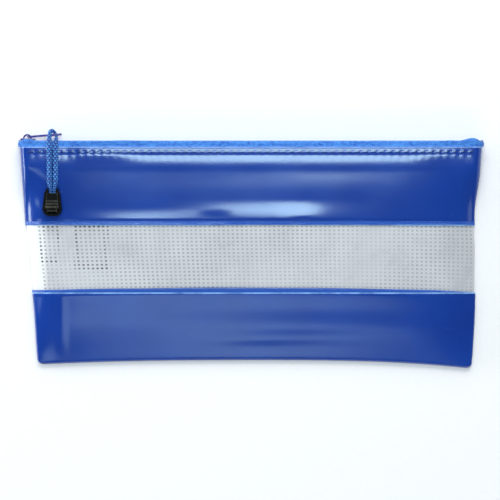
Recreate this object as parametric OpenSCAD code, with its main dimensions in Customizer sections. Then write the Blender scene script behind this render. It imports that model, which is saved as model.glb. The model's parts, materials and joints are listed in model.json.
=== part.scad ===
// Zippered vinyl deposit bag, lying on its back with the zipper edge at +Y.
// X runs along the zipper, Z is the thickness and z = 0 is the surface the bag lies on.
// Heights on the faces are measured along Y from the bottom fold; seat() then centres the bag on Y.

/* [Bag] */
// Width of the bag at the zipper
mouth_w = 280; // [220:2:340]
// Width of the bag at the bottom fold
foot_w = 264; // [210:2:330]
// Height of each face, from the bottom fold to the mouth edge
face_h = 130.4; // [124:0.2:160]
// Thickness of the empty bag behind the mouth
mouth_t = 12; // [12:0.1:13]
// Thickness of the bag at the bottom fold
fold_t = 3; // [3:0.1:4]

/* [Panels] */
// Height of the lower band on each face
lower_band_h = 44.5; // [38:0.5:50]
// Height of the mesh window that shows between the bands
window_h = 38.4; // [24:0.2:42]
// Width of the weld where a band laps over the mesh
lap = 5; // [3:0.5:7]
// Thickness of the solid vinyl
vinyl_t = 0.8; // [0.7:0.05:0.9]
// Thickness of the mesh vinyl
mesh_t = 0.6; // [0.4:0.05:0.7]

/* [Zipper] */
// Length of tape that stands out past each side of the mouth
tape_end = 1.5; // [1.2:0.1:2.5]
// Thickness of the woven tape
tape_t = 0.5; // [0.4:0.05:0.5]
// Height and width of each coil
coil_size = 1.6; // [1.5:0.05:1.6]
// Gap between the two halves, which the slider's divider runs in
chain_gap = 1.4; // [1.4:0.1:1.6]
// Distance between neighbouring stitches of the mouth seam
stitch_pitch = 4.93; // [4:0.01:6]

/* [Pull] */
// Length of the pull tab from its hinge to its tip
tab_len = 20.3; // [19:0.1:24]
// Thickness of the pull tab
tab_t = 1.1; // [0.9:0.05:1.1]
// Angle at which the tab stands off the zipper
tab_tilt = 4.4; // [4.4:0.1:8]
// Length of the cord end, prongs included
cord_end_len = 16.6; // [16.6:0.1:20]
// Width of the cord end
cord_end_w = 11.6; // [11.6:0.1:14]

/* [Hidden] */
$fn = 48;

// Colours
vinyl_blue = [0.13, 0.25, 0.62];
mesh_white = [0.88, 0.90, 0.92];
tape_blue = [0.24, 0.55, 0.88];
coil_blue = [0.16, 0.38, 0.78];
thread_blue = [0.10, 0.18, 0.48];
enamel_blue = [0.24, 0.24, 0.75];
cord_blue = [0.16, 0.43, 0.90];
plastic_black = [0.10, 0.10, 0.11];

// Faces of the bag
fold_r = fold_t / 2;
window_low = lower_band_h;
window_top = lower_band_h + window_h;
curl_start = face_h - 10.4;
curl_r = 68;
curl_steps = 5;
level_start = face_h - 12.4;
side_open_start = face_h - 20;
open_row = 1.52;
swell = 2.2;
side_power = 14;
columns = 28;
mid_z = mouth_t / 2;

// Zipper section, seen along X
mouth_lip_z = vinyl_t + curl_at(face_h);
roll_r = 1.5;
tape_top = face_h + 3.9;
roll_v = tape_top - roll_r;
coil_top = tape_top - tape_t;
coil_low = coil_top - coil_size;
core_r = 0.35;
thread_t = 0.2;
chain_half = chain_gap / 2;
chain_len = mouth_w + 1;
tape_len = mouth_w + 2 * tape_end;

// Slider, measured from its middle
slider_half_l = 4.5;
slider_half_w = 3.7;
slider_nose_half_w = 3.3;
slider_x = -mouth_w / 2 + 5;
running_gap = 0.3;
plate_low_t = 1.1;
plate_top_t = 1.0;
well_low = coil_low - thread_t - running_gap;
well_top = tape_top + running_gap;
slider_top = well_top + plate_top_t;
flange_t = 0.7;
divider_w = 0.8;
bail_w = 2.2;
bail_band = 0.8;
bail_hole_h = 1.9;
bail_half_l = 3;

// Pull tab, measured from its hinge
hinge_v = slider_top + bail_hole_h / 2;
hinge_pin_r = 0.6;
tab_neck_half_w = 2.7;
tab_half_w = 3.6;
tab_rail = 1.1;
tab_corner = 1.4;
bail_window_half_w = 1.5;
bail_window_end = 3.8;
eye_from = 11.2;
eye_to = tab_len - 1.4;
eye_v = hinge_v + 15.3 * sin(tab_tilt);
eye_x = slider_x + 15.3 * cos(tab_tilt);
eye_z = mid_z + tab_half_w - tab_rail / 2;
overall_h = hinge_v + tab_len * sin(tab_tilt) + tab_t / 2 * cos(tab_tilt);

// Cord end, measured along Y from its round end
shell_v = eye_v - 49.3;
shell_z = eye_z + 3.55;
shell_floor = 1.0;
shell_h = 6.6;
shell_wall = 1.35;
shell_corner = 4.4;
prong_h = 2.5;
lid_t = 1.6;
lid_gap = 0.3;
lid_pin_v = 2.8;
lid_pin_r = 0.5;
lid_pin_fit = 0.05;
lid_neck_half_w = 2.8;
lid_neck_l = 1.0;
lid_recess = [4.8, 2.0, 0.9];
lid_recess_from = 0.2;
lid_pin_grip = 0.9;
rib_h = 0.5;
rib_w = 0.7;
rib_pitch = 1.7;
rib_root = 0.1;
rib_from = 2.35;
rib_half_w = 3.45;
prong_half_w = 2.35;
prong_w = 1.55;
shoulder_h = 0.8;
cord_end_top_w = 9.4;
mouth_v = cord_end_len - prong_h;
knot_w = 7.2;
knot_t = 3.6;
knot_foot = 3;
knot_corner = 3.2;

// Route of the cord from the middle of the tab's eye rail: x, y, z and radius at each point.
// It leaves the cord end, passes in front of the rail, over it, down through the eye and back.
CORD_ROUTE = [
    [-1.15, -39.0, 6.4, 1.10],
    [-1.15, -36.0, 6.4, 1.10],
    [-1.15, -32.5, 6.2, 1.10],
    [-1.6, -30.0, 5.8, 1.55],
    [-1.8, -27.0, 5.6, 1.80],
    [-1.8, -20.0, 5.5, 1.80],
    [-1.8, -13.0, 5.5, 1.80],
    [-1.8, -8.0, 5.5, 1.80],
    [-2.0, -5.0, 5.0, 1.75],
    [-2.0, -2.4, 3.8, 1.60],
    [-1.9, 0, 2.6, 1.40],
    [-1.5, 1.8, 1.8, 1.35],
    [-0.6, 2.5, 0, 1.35],
    [0.6, 1.7, -1.6, 1.20],
    [1.5, 0, -2.2, 1.00],
    [2.0, -1.5, -1.5, 1.00],
    [2.0, -2.1, 0, 1.00],
    [2.0, -2.2, 1.8, 1.00],
    [2.0, -2.9, 3.4, 1.40],
    [2.0, -4.8, 4.8, 1.75],
    [1.8, -8.0, 5.5, 1.80],
    [1.8, -13.0, 5.5, 1.80],
    [1.8, -20.0, 5.5, 1.80],
    [1.8, -27.0, 5.6, 1.80],
    [1.6, -30.0, 5.8, 1.55],
    [1.15, -32.5, 6.2, 1.10],
    [1.15, -36.0, 6.4, 1.10],
    [1.15, -39.0, 6.4, 1.10]
];
cord_sides = 10;

// ---- Shape of the faces ----

// Half the width of the bag at height v.
function half_w(v) = foot_w / 2 + (mouth_w - foot_w) / 2 * v / face_h;

// How far the lip of the mouth curls in towards the zipper at height v.
function curl_at(v) = let (d = max(0, v - curl_start)) curl_r - sqrt(curl_r * curl_r - d * d);

// Heights of the facets that make the curl.
function curl_heights(first = 0) =
    [for (k = [first:curl_steps]) curl_start + (face_h - curl_start) * k / curl_steps];

function clamp01(t) = min(1, max(0, t));
function smooth(t) = let (c = clamp01(t)) c * c * (3 - 2 * c);

// Top of the front face along the middle of the bag.
function front_z(v) =
    let (rise = 1 - pow(1 - clamp01((v - fold_r) / (level_start - fold_r)), swell))
    fold_t + (mouth_t - fold_t) * rise - curl_at(v);

// 1 on the flat of the front face, falling to 0 at a closed side edge.
function plump(u, v) =
    1 - (1 - smooth((v - side_open_start) / (level_start - side_open_start))) * pow(abs(u), side_power);

// Point of the front face at u across (-1 to 1) and height v, depth below the outer skin.
function front_point(u, v, depth) =
    [u * (half_w(v) - depth), v, fold_t - depth + (front_z(v) - fold_t) * plump(u, v)];

// Positions across the face, closer together towards the side edges.
ACROSS = [for (i = [0:columns]) sin(90 * (2 * i / columns - 1))];

function steps(from, to, n) = [for (k = [0:n]) from + (to - from) * k / n];
function front_rows(heights, depth) = [for (v = heights) [for (u = ACROSS) front_point(u, v, depth)]];

// Rows round the bottom fold, from the front face to the back face, r from the fold's middle.
function fold_rows(r, n) =
    [for (k = [1:n]) let (a = 180 * k / n) [for (u = ACROSS)
        [u * (half_w(fold_r) - fold_r + r), fold_r - r * sin(a), fold_r + r * cos(a)]]];

// Rows of the back face at height z.
function back_rows(heights, z, inset) =
    [for (v = heights) [for (u = ACROSS) [u * (half_w(v) - inset), v, z]]];

// Closed sheet between two skins that have the same rows of points.
module sheet(outer, inner) {
    rows = len(outer);
    wide = len(outer[0]);
    skin = rows * wide;
    points = concat([for (row = outer) each row], [for (row = inner) each row]);
    top = [for (r = [0:rows - 2], c = [0:wide - 2]) let (i = r * wide + c) each
        [[i, i + wide, i + 1], [i + 1, i + wide, i + wide + 1]]];
    bottom = [for (f = top) [f[0] + skin, f[2] + skin, f[1] + skin]];
    ends = [for (c = [0:wide - 2]) let (a = c, b = (rows - 1) * wide + c) each
        [[a, a + 1, a + 1 + skin, a + skin], [b + 1, b, b + skin, b + 1 + skin]]];
    sides = [for (r = [0:rows - 2]) let (a = r * wide, b = r * wide + wide - 1) each
        [[a + wide, a, a + skin, a + wide + skin], [b, b + wide, b + wide + skin, b + skin]]];
    polyhedron(points, concat(top, bottom, ends, sides), convexity = 10);
}

// Puts what is measured from the bottom fold where it lies in the bag's frame.
module seat() {
    translate([0, -overall_h / 2, 0]) children();
}

// Turns the back half of the zipper or mouth into the front half.
module to_front() {
    translate([0, 0, mouth_t]) mirror([0, 0, 1]) children();
}

// Extrudes a (y, z) outline along X about x = 0.
module along_x(length) {
    rotate([90, 0, 90]) linear_extrude(length, center = true) children();
}

// Extrudes an (x, z) outline along Y between two heights.
module between_heights(low, high) {
    translate([0, high, 0]) rotate([90, 0, 0]) linear_extrude(high - low) children();
}

// ---- Panels ----

// Flat piece of the back face between two heights.
module back_plate(from, to, z, t) {
    translate([0, 0, z])
        linear_extrude(t)
            polygon([[-half_w(from), from], [half_w(from), from], [half_w(to), to], [-half_w(to), to]]);
}

module front_upper_panel() {
    opening = steps(side_open_start + open_row, level_start, 4);
    heights = concat(steps(window_top, side_open_start, 5), opening, curl_heights());
    color(vinyl_blue) seat() sheet(front_rows(heights, 0), front_rows(heights, vinyl_t));
}

module front_mesh_window() {
    heights = steps(window_low - lap, window_top + lap, 6);
    color(mesh_white) seat()
        sheet(front_rows(heights, vinyl_t), front_rows(heights, vinyl_t + mesh_t));
}

// One sheet that runs down the front, round the bottom fold and up the back.
module lower_panel() {
    down = steps(window_low, fold_r, 9);
    up = steps(fold_r, window_low, 3);
    outer = concat(front_rows(down, 0), fold_rows(fold_r, 6), back_rows([for (k = [1:3]) up[k]], 0, 0));
    inner = concat(
        front_rows(down, vinyl_t),
        fold_rows(fold_r - vinyl_t, 6),
        back_rows([for (k = [1:3]) up[k]], vinyl_t, vinyl_t)
    );
    color(vinyl_blue) seat() sheet(outer, inner);
}

module back_mesh_window() {
    color(mesh_white) seat() back_plate(window_low - lap, window_top + lap, vinyl_t, mesh_t);
}

module back_upper_panel() {
    curl = curl_heights();
    under = concat([[window_top, 0]], [for (v = curl) [v, curl_at(v)]]);
    over = [for (i = [len(under) - 1:-1:0]) under[i] + [0, vinyl_t]];
    color(vinyl_blue) seat() intersection() {
        back_plate(window_top, face_h, -1, mouth_t);
        along_x(mouth_w + 10) polygon(concat(under, over));
    }
}

// ---- Zipper ----

// Points of a quarter turn of radius r that rolls the back tape from upright to flat.
function roll(r) = [for (a = [90:-15:0]) [roll_v + r * cos(a), mouth_lip_z + roll_r - r * sin(a)]];

// Section of the back tape: up inside the lip, rolled over, then flat to the middle of the chain.
module tape_section() {
    inside = [for (v = curl_heights(1)) [v, vinyl_t + curl_at(v)]];
    edge = mid_z - chain_half;
    back_to = [for (i = [len(inside) - 1:-1:0]) inside[i] + [0, tape_t]];
    turn = roll(roll_r - tape_t);
    polygon(concat(
        inside, roll(roll_r), [[tape_top, edge], [coil_top, edge]],
        [for (i = [len(turn) - 1:-1:0]) turn[i]], back_to
    ));
}

// The fold at each end of the tape closes its half of the tube.
module tape_end_section() {
    polygon(concat([[level_start, mouth_lip_z]], roll(roll_r), [[tape_top, mid_z], [level_start, mid_z]]));
}

module zipper_tape() {
    color(tape_blue) seat() {
        along_x(tape_len) tape_section();
        for (side = [-1, 1])
            translate([side * (tape_len - tape_t) / 2, 0, 0]) along_x(tape_t) tape_end_section();
    }
}

module front_zipper_tape() {
    to_front() zipper_tape();
}

module back_zipper_tape() {
    zipper_tape();
}

// Half of the coil chain under its tape, with a bore that the core cord fills.
module coil() {
    corner = 0.4;
    color(coil_blue) seat() along_x(chain_len) difference() {
        translate([coil_low, mid_z - chain_half - coil_size]) {
            translate([corner, 0]) square([coil_size - corner, coil_size]);
            translate([0, corner]) square([coil_size, coil_size - 2 * corner]);
            for (z = [corner, coil_size - corner]) translate([corner, z]) circle(corner);
        }
        translate([coil_low + coil_size / 2, mid_z - chain_half - coil_size / 2]) circle(core_r);
    }
}

module front_coil() {
    to_front() coil();
}

module back_coil() {
    coil();
}

module coil_core() {
    color(tape_blue) seat()
        translate([-chain_len / 2, coil_low + coil_size / 2, mid_z - chain_half - coil_size / 2])
            rotate([0, 90, 0]) cylinder(r = core_r, h = chain_len);
}

module front_coil_core() {
    to_front() coil_core();
}

module back_coil_core() {
    coil_core();
}

// Threads that hold the coil under its tape.
module coil_stitching() {
    pitch = 5.08;
    count = floor(chain_len / pitch);
    length = 4.2;
    width = 0.5;
    color(thread_blue) seat()
        for (i = [0:count - 1])
            translate([
                (i - (count - 1) / 2) * pitch - length / 2,
                coil_low - thread_t,
                mid_z - chain_half - (coil_size + width) / 2
            ]) cube([length, thread_t, width]);
}

module front_coil_stitching() {
    to_front() coil_stitching();
}

module back_coil_stitching() {
    coil_stitching();
}

// ---- Seams ----

// Row of stitches on the last facet but one of the back lip.
module mouth_stitching() {
    facet = (face_h - curl_start) / curl_steps;
    low = curl_start + 3 * facet;
    high = low + facet;
    lean = atan((curl_at(high) - curl_at(low)) / facet);
    count = floor((mouth_w - 8) / stitch_pitch);
    size = [stitch_pitch - 1.5, 0.6, 0.25];
    color(thread_blue) seat()
        for (i = [0:count - 1])
            translate([
                (i - (count - 1) / 2) * stitch_pitch,
                (low + high) / 2,
                (curl_at(low) + curl_at(high)) / 2
            ])
                rotate([lean, 0, 0])
                    translate([-size[0] / 2, -size[1] / 2, -size[2]]) cube(size);
}

module front_mouth_stitching() {
    to_front() mouth_stitching();
}

module back_mouth_stitching() {
    mouth_stitching();
}

// Inner face of the back at height v, where the mesh laps under the bands.
function back_inside(v) = vinyl_t + (v > window_low - lap - 2 && v < window_top + lap + 2 ? mesh_t : 0);

// Lock stitches that close one side, inside the turned edge.
module side_seam_stitching(side) {
    pitch = 5;
    length = 3.6;
    thread = 0.5;
    inset = 3;
    count = floor((side_open_start - 8) / pitch);
    lean = atan((mouth_w - foot_w) / 2 / face_h);
    color(thread_blue) seat()
        for (i = [0:count - 1])
            let (v = 8 + i * pitch)
                translate([side * (half_w(v) - inset), v, back_inside(v)])
                    rotate([0, 0, -side * lean])
                        translate([-thread / 2, -length / 2, 0]) cube([thread, length, thread]);
}

module left_side_seam_stitching() {
    side_seam_stitching(-1);
}

module right_side_seam_stitching() {
    side_seam_stitching(1);
}

// Stitches across one end of the chain: they join the tapes and stop the slider.
module zip_end_stitching(side) {
    pitch = 0.45;
    width = 0.25;
    length = 6;
    color(thread_blue) seat()
        for (i = [0:2], v = [tape_top, coil_low - thread_t])
            translate([
                side * (chain_len / 2 + 0.15 - i * pitch) - width / 2,
                v,
                mid_z - length / 2
            ]) cube([width, thread_t, length]);
}

module left_zip_end_stitching() {
    zip_end_stitching(-1);
}

module right_zip_end_stitching() {
    zip_end_stitching(1);
}

// ---- Slider ----

// Outline of the slider's plates in (x, z), narrower at the nose.
module slider_plan(half_w) {
    nose = half_w - (slider_half_w - slider_nose_half_w);
    polygon([
        [-slider_half_l, -half_w], [-1, -half_w], [slider_half_l, -nose],
        [slider_half_l, nose], [-1, half_w], [-slider_half_l, half_w]
    ]);
}

// Arch with round shoulders, w wide about x = 0 and h high.
module arch(w, h, r) {
    translate([-w / 2, 0]) square([w, h - r]);
    translate([r - w / 2, 0]) square([w - 2 * r, h]);
    for (x = [r - w / 2, w / 2 - r]) translate([x, h - r]) circle(r);
}

// Two plates joined by the divider, with flanges round the coils and a bail for the pull.
module slider_body() {
    weld = 0.2;
    lower_half_w = slider_half_w - 0.3;
    color(enamel_blue) seat() translate([slider_x, 0, mid_z]) {
        between_heights(well_top, slider_top) slider_plan(slider_half_w);
        between_heights(well_low - plate_low_t, well_low) slider_plan(lower_half_w);
        between_heights(well_low - weld, well_top + weld)
            polygon([[-4.4, 0], [-3.1, -divider_w / 2], [-1.8, 0], [-3.1, divider_w / 2]]);
        between_heights(well_low - weld, coil_top - running_gap) intersection() {
            slider_plan(lower_half_w);
            for (side = [-1, 1])
                translate([-slider_half_l, side * (slider_nose_half_w - flange_t / 2) - flange_t / 2])
                    square([2 * slider_half_l, flange_t]);
        }
        translate([0, slider_top, -bail_w / 2]) linear_extrude(bail_w) difference() {
            translate([0, -weld]) arch(2 * bail_half_l, bail_hole_h + bail_band + weld, 1.3);
            arch(2 * (bail_half_l - bail_band - 0.1), bail_hole_h, 0.8);
        }
    }
}

// ---- Pull ----

// Outline of the tab in (x, z) with the window round the bail and the cord's eye.
module tab_outline() {
    shoulder = 10;
    tip = tab_len - tab_corner;
    flat = tab_half_w - tab_corner;
    eye_half_w = tab_half_w - tab_rail;
    eye_corner = 1.2;
    difference() {
        union() {
            polygon([
                [0, -tab_neck_half_w], [4, -tab_neck_half_w], [shoulder, -tab_half_w], [tip, -tab_half_w],
                [tip, tab_half_w], [shoulder, tab_half_w], [4, tab_neck_half_w], [0, tab_neck_half_w]
            ]);
            translate([tip - 1, -flat]) square([tab_corner + 1, 2 * flat]);
            for (side = [-1, 1]) translate([tip, side * flat]) circle(tab_corner);
        }
        translate([-1, -bail_window_half_w]) square([bail_window_end + 1, 2 * bail_window_half_w]);
        translate([eye_from, -eye_half_w + eye_corner])
            square([eye_to - eye_from, 2 * (eye_half_w - eye_corner)]);
        translate([eye_from + eye_corner, -eye_half_w])
            square([eye_to - eye_from - 2 * eye_corner, 2 * eye_half_w]);
        for (x = [eye_from + eye_corner, eye_to - eye_corner], side = [-1, 1])
            translate([x, side * (eye_half_w - eye_corner)]) circle(eye_corner);
    }
}

module pull_tab() {
    color(enamel_blue) seat()
        translate([slider_x, hinge_v, mid_z]) rotate([0, 0, tab_tilt]) {
            between_heights(-tab_t / 2, tab_t / 2) tab_outline();
            cylinder(r = hinge_pin_r, h = 2 * tab_neck_half_w, center = true);
        }
}

// Direction of the cord at ring i.
function heading(route, i) =
    let (
        a = route[max(0, i - 1)],
        b = route[min(len(route) - 1, i + 1)],
        d = [b[0] - a[0], b[1] - a[1], b[2] - a[2]]
    ) d / norm(d);

// Corners of the cord's ring i.
function ring(route, i, sides) =
    let (
        t = heading(route, i),
        across = cross(t, [1, 0, 0]),
        n = across / norm(across),
        b = cross(t, n),
        p = [route[i][0], route[i][1], route[i][2]]
    ) [for (k = [0:sides - 1]) let (a = 360 * k / sides) p + route[i][3] * (cos(a) * n + sin(a) * b)];

// Round tube that follows a route.
module tube(route, sides) {
    last = len(route) - 1;
    points = [for (i = [0:last]) each ring(route, i, sides)];
    walls = [for (i = [0:last - 1], k = [0:sides - 1])
        let (j = (k + 1) % sides)
        [i * sides + k, (i + 1) * sides + k, (i + 1) * sides + j, i * sides + j]];
    caps = [[for (k = [0:sides - 1]) k], [for (k = [sides - 1:-1:0]) last * sides + k]];
    polyhedron(points, concat(walls, caps), convexity = 10);
}

module pull_cord() {
    color(cord_blue) seat() translate([eye_x, eye_v, eye_z]) tube(CORD_ROUTE, cord_sides);
}

// Half the outer width of the cord end at height v, narrowing toward its mouth.
function cord_end_half(v) =
    (cord_end_w - (cord_end_w - cord_end_top_w) * max(0, v - shell_corner) / (mouth_v - shell_corner)) / 2;

// Outline of the cord end in (x, y), drawn in by a margin: tapering sides on a round foot, open at the top.
module cord_end_outline(margin, to) {
    half_w = cord_end_w / 2 - margin;
    r = shell_corner - margin;
    half_to = cord_end_half(to) - margin;
    polygon([[-half_w, shell_corner], [half_w, shell_corner], [half_to, to], [-half_to, to]]);
    translate([r - half_w, margin]) square([2 * (half_w - r), r + 0.1]);
    for (side = [-1, 1]) translate([side * (half_w - r), shell_corner]) circle(r);
}

// Outline of one prong in (x, y), on the wall's sloping shoulder.
module prong_outline() {
    outer = prong_half_w + prong_w;
    foot = mouth_v - rib_root;
    wide = cord_end_top_w / 2;
    polygon([
        [prong_half_w, foot], [wide, foot], [wide, mouth_v],
        [outer, mouth_v + shoulder_h], [outer, cord_end_len], [prong_half_w, cord_end_len]
    ]);
}

// Tray with a U-shaped wall, and two prongs beside the cord.
module cord_end_shell() {
    color(plastic_black) seat() translate([eye_x, shell_v, shell_z]) difference() {
        union() {
            linear_extrude(shell_h) {
                difference() {
                    cord_end_outline(0, mouth_v);
                    cord_end_outline(shell_wall, cord_end_len);
                }
                for (side = [-1, 1]) scale([side, 1]) prong_outline();
            }
            linear_extrude(shell_floor) cord_end_outline(0, mouth_v);
        }
        translate([0, lid_pin_v, shell_h - lid_t / 2])
            rotate([0, 90, 0]) cylinder(r = lid_pin_r + lid_pin_fit, h = 2 * cord_end_w, center = true);
        for (side = [-1, 1])
            translate([side * (prong_half_w + prong_w / 2), cord_end_len, shell_h])
                rotate([45, 0, 0]) cube([2 * prong_w, prong_w, prong_w], center = true);
    }
}

// The cord's two ends, knotted and pressed into the shell.
module cord_knot() {
    top = eye_v + CORD_ROUTE[0][1] - shell_v;
    color(cord_blue) seat() translate([eye_x, shell_v, shell_z + shell_floor]) linear_extrude(knot_t) {
        translate([-knot_w / 2, knot_foot + knot_corner]) square([knot_w, top - knot_foot - knot_corner]);
        translate([knot_corner - knot_w / 2, knot_foot]) square([knot_w - 2 * knot_corner, knot_corner + 0.1]);
        for (side = [-1, 1])
            translate([side * (knot_w / 2 - knot_corner), knot_foot + knot_corner]) circle(knot_corner);
    }
}

// Outline of the lid in (x, y) from its pins: a neck that clears the tray's round foot, then its full width.
module lid_outline(margin, length) {
    wide_v = lid_neck_l + cord_end_w / 2 - margin - lid_neck_half_w;
    wide = cord_end_half(lid_pin_v + wide_v) - margin;
    end = cord_end_half(lid_pin_v + length) - margin;
    polygon([
        [-lid_neck_half_w, 0], [lid_neck_half_w, 0], [lid_neck_half_w, lid_neck_l], [wide, wide_v],
        [end, length], [-end, length], [-wide, wide_v], [-lid_neck_half_w, lid_neck_l]
    ]);
}

// Ribbed lid that turns on two pins at the foot of the shell and presses on the cord.
module cord_end_lid() {
    pin_half_l = cord_end_w / 2 - shell_wall + lid_pin_grip;
    length = mouth_v - lid_pin_v - lid_gap;
    color(plastic_black) seat() translate([eye_x, shell_v + lid_pin_v, shell_z + shell_h - lid_t / 2]) {
        rotate([0, 90, 0]) cylinder(r = lid_pin_r, h = 2 * pin_half_l, center = true);
        difference() {
            union() {
                rotate([0, 90, 0]) cylinder(r = lid_t / 2, h = 2 * lid_neck_half_w, center = true);
                translate([0, 0, -lid_t / 2]) linear_extrude(lid_t) lid_outline(shell_wall + lid_gap, length);
            }
            translate([-lid_recess[0] / 2, lid_recess_from, lid_t / 2 - lid_recess[2]])
                cube([lid_recess[0], lid_recess[1], lid_t]);
        }
        for (i = [0:2])
            translate([-rib_half_w, rib_from + rib_pitch * i, lid_t / 2 - rib_root])
                cube([2 * rib_half_w, rib_w, rib_h + rib_root]);
    }
}

front_upper_panel();
front_mesh_window();
lower_panel();
back_mesh_window();
back_upper_panel();
front_zipper_tape();
back_zipper_tape();
front_coil();
back_coil();
front_coil_core();
back_coil_core();
front_coil_stitching();
back_coil_stitching();
front_mouth_stitching();
back_mouth_stitching();
left_side_seam_stitching();
right_side_seam_stitching();
left_zip_end_stitching();
right_zip_end_stitching();
slider_body();
pull_tab();
pull_cord();
cord_end_shell();
cord_knot();
cord_end_lid();
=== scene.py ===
"""Looks of a zippered vinyl deposit bag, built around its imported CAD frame.

The bag lies on its back: X runs along the zipper, Y from the bottom fold to the zipper and Z out of the
front face. Every length is in metres. Each sub-assembly is a class that models its pieces and dresses them in
its finishes.
"""

import json
import logging
import math
from dataclasses import dataclass, field
from enum import Enum
from typing import Callable, Optional, Sequence, Union

import bmesh
import bpy
from mathutils import Matrix, Vector, noise
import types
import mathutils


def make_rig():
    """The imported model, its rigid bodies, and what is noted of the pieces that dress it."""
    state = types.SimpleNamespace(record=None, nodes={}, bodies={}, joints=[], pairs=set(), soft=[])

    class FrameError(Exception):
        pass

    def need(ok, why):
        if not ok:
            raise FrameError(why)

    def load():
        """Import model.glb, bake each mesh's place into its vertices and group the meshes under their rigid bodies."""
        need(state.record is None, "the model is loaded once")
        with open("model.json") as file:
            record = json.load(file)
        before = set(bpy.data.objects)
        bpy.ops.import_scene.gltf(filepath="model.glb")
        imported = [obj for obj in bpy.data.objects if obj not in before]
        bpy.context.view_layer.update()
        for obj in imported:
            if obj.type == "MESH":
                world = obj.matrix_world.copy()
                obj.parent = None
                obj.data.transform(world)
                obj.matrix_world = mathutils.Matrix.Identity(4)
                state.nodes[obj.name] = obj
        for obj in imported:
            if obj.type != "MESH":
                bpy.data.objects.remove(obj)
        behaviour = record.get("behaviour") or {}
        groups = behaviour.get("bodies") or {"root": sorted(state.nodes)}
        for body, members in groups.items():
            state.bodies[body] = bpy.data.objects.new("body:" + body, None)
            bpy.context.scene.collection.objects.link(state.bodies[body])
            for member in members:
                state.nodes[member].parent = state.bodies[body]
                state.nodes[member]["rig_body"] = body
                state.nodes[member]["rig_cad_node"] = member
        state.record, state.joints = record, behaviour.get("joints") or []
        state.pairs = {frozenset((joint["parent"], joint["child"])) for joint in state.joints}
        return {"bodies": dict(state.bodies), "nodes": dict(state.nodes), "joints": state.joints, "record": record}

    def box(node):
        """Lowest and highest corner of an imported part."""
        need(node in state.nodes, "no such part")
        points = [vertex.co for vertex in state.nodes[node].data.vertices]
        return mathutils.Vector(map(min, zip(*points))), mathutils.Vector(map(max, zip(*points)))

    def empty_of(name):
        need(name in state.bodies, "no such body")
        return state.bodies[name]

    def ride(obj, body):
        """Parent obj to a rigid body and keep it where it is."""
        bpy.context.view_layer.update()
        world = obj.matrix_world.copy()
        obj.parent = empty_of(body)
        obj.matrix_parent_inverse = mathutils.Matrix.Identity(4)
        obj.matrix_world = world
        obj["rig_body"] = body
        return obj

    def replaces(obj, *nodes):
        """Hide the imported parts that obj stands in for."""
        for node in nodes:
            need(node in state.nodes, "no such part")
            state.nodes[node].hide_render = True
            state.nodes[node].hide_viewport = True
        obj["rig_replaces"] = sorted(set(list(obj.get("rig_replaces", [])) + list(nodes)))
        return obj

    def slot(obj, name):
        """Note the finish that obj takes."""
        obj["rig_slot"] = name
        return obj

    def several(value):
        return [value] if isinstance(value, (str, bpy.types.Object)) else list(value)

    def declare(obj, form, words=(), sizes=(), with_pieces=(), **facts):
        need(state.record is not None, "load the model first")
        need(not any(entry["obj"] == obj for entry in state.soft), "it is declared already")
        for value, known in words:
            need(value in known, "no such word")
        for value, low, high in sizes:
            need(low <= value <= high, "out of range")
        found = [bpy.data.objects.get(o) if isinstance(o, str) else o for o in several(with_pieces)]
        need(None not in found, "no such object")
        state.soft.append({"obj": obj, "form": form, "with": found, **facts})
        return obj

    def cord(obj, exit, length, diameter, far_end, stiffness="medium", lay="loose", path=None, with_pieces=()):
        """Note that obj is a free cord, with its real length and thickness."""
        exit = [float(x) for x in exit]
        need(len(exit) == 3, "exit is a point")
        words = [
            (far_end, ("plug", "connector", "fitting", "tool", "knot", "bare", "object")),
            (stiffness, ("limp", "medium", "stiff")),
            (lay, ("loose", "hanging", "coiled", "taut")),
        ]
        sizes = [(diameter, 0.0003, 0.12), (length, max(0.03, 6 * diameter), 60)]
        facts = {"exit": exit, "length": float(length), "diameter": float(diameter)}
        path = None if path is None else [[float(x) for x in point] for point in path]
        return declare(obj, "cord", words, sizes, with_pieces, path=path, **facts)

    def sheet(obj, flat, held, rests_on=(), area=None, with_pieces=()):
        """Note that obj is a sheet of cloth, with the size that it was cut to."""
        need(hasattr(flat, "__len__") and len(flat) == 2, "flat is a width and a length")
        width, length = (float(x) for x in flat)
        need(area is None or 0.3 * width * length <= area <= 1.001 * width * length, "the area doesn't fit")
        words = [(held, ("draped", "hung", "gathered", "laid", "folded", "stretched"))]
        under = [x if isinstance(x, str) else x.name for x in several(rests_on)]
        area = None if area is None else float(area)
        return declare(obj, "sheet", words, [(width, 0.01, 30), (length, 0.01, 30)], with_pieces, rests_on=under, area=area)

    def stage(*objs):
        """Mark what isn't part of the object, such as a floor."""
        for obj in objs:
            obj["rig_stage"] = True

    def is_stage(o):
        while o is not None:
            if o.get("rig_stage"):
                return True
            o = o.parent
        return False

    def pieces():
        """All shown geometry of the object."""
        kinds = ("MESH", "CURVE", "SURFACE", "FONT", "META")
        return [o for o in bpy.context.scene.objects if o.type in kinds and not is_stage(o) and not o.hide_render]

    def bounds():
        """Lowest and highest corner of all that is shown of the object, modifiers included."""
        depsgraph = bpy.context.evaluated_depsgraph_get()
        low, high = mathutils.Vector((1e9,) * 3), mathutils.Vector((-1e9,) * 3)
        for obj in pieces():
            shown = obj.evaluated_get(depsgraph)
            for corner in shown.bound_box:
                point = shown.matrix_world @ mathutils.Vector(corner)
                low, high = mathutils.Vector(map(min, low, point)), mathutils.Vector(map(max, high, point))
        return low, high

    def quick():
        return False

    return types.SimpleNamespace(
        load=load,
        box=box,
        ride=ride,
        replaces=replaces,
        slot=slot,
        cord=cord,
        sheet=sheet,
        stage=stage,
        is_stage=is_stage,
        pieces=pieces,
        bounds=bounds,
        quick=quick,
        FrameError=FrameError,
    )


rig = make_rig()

log = logging.getLogger("deposit_bag")

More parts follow.
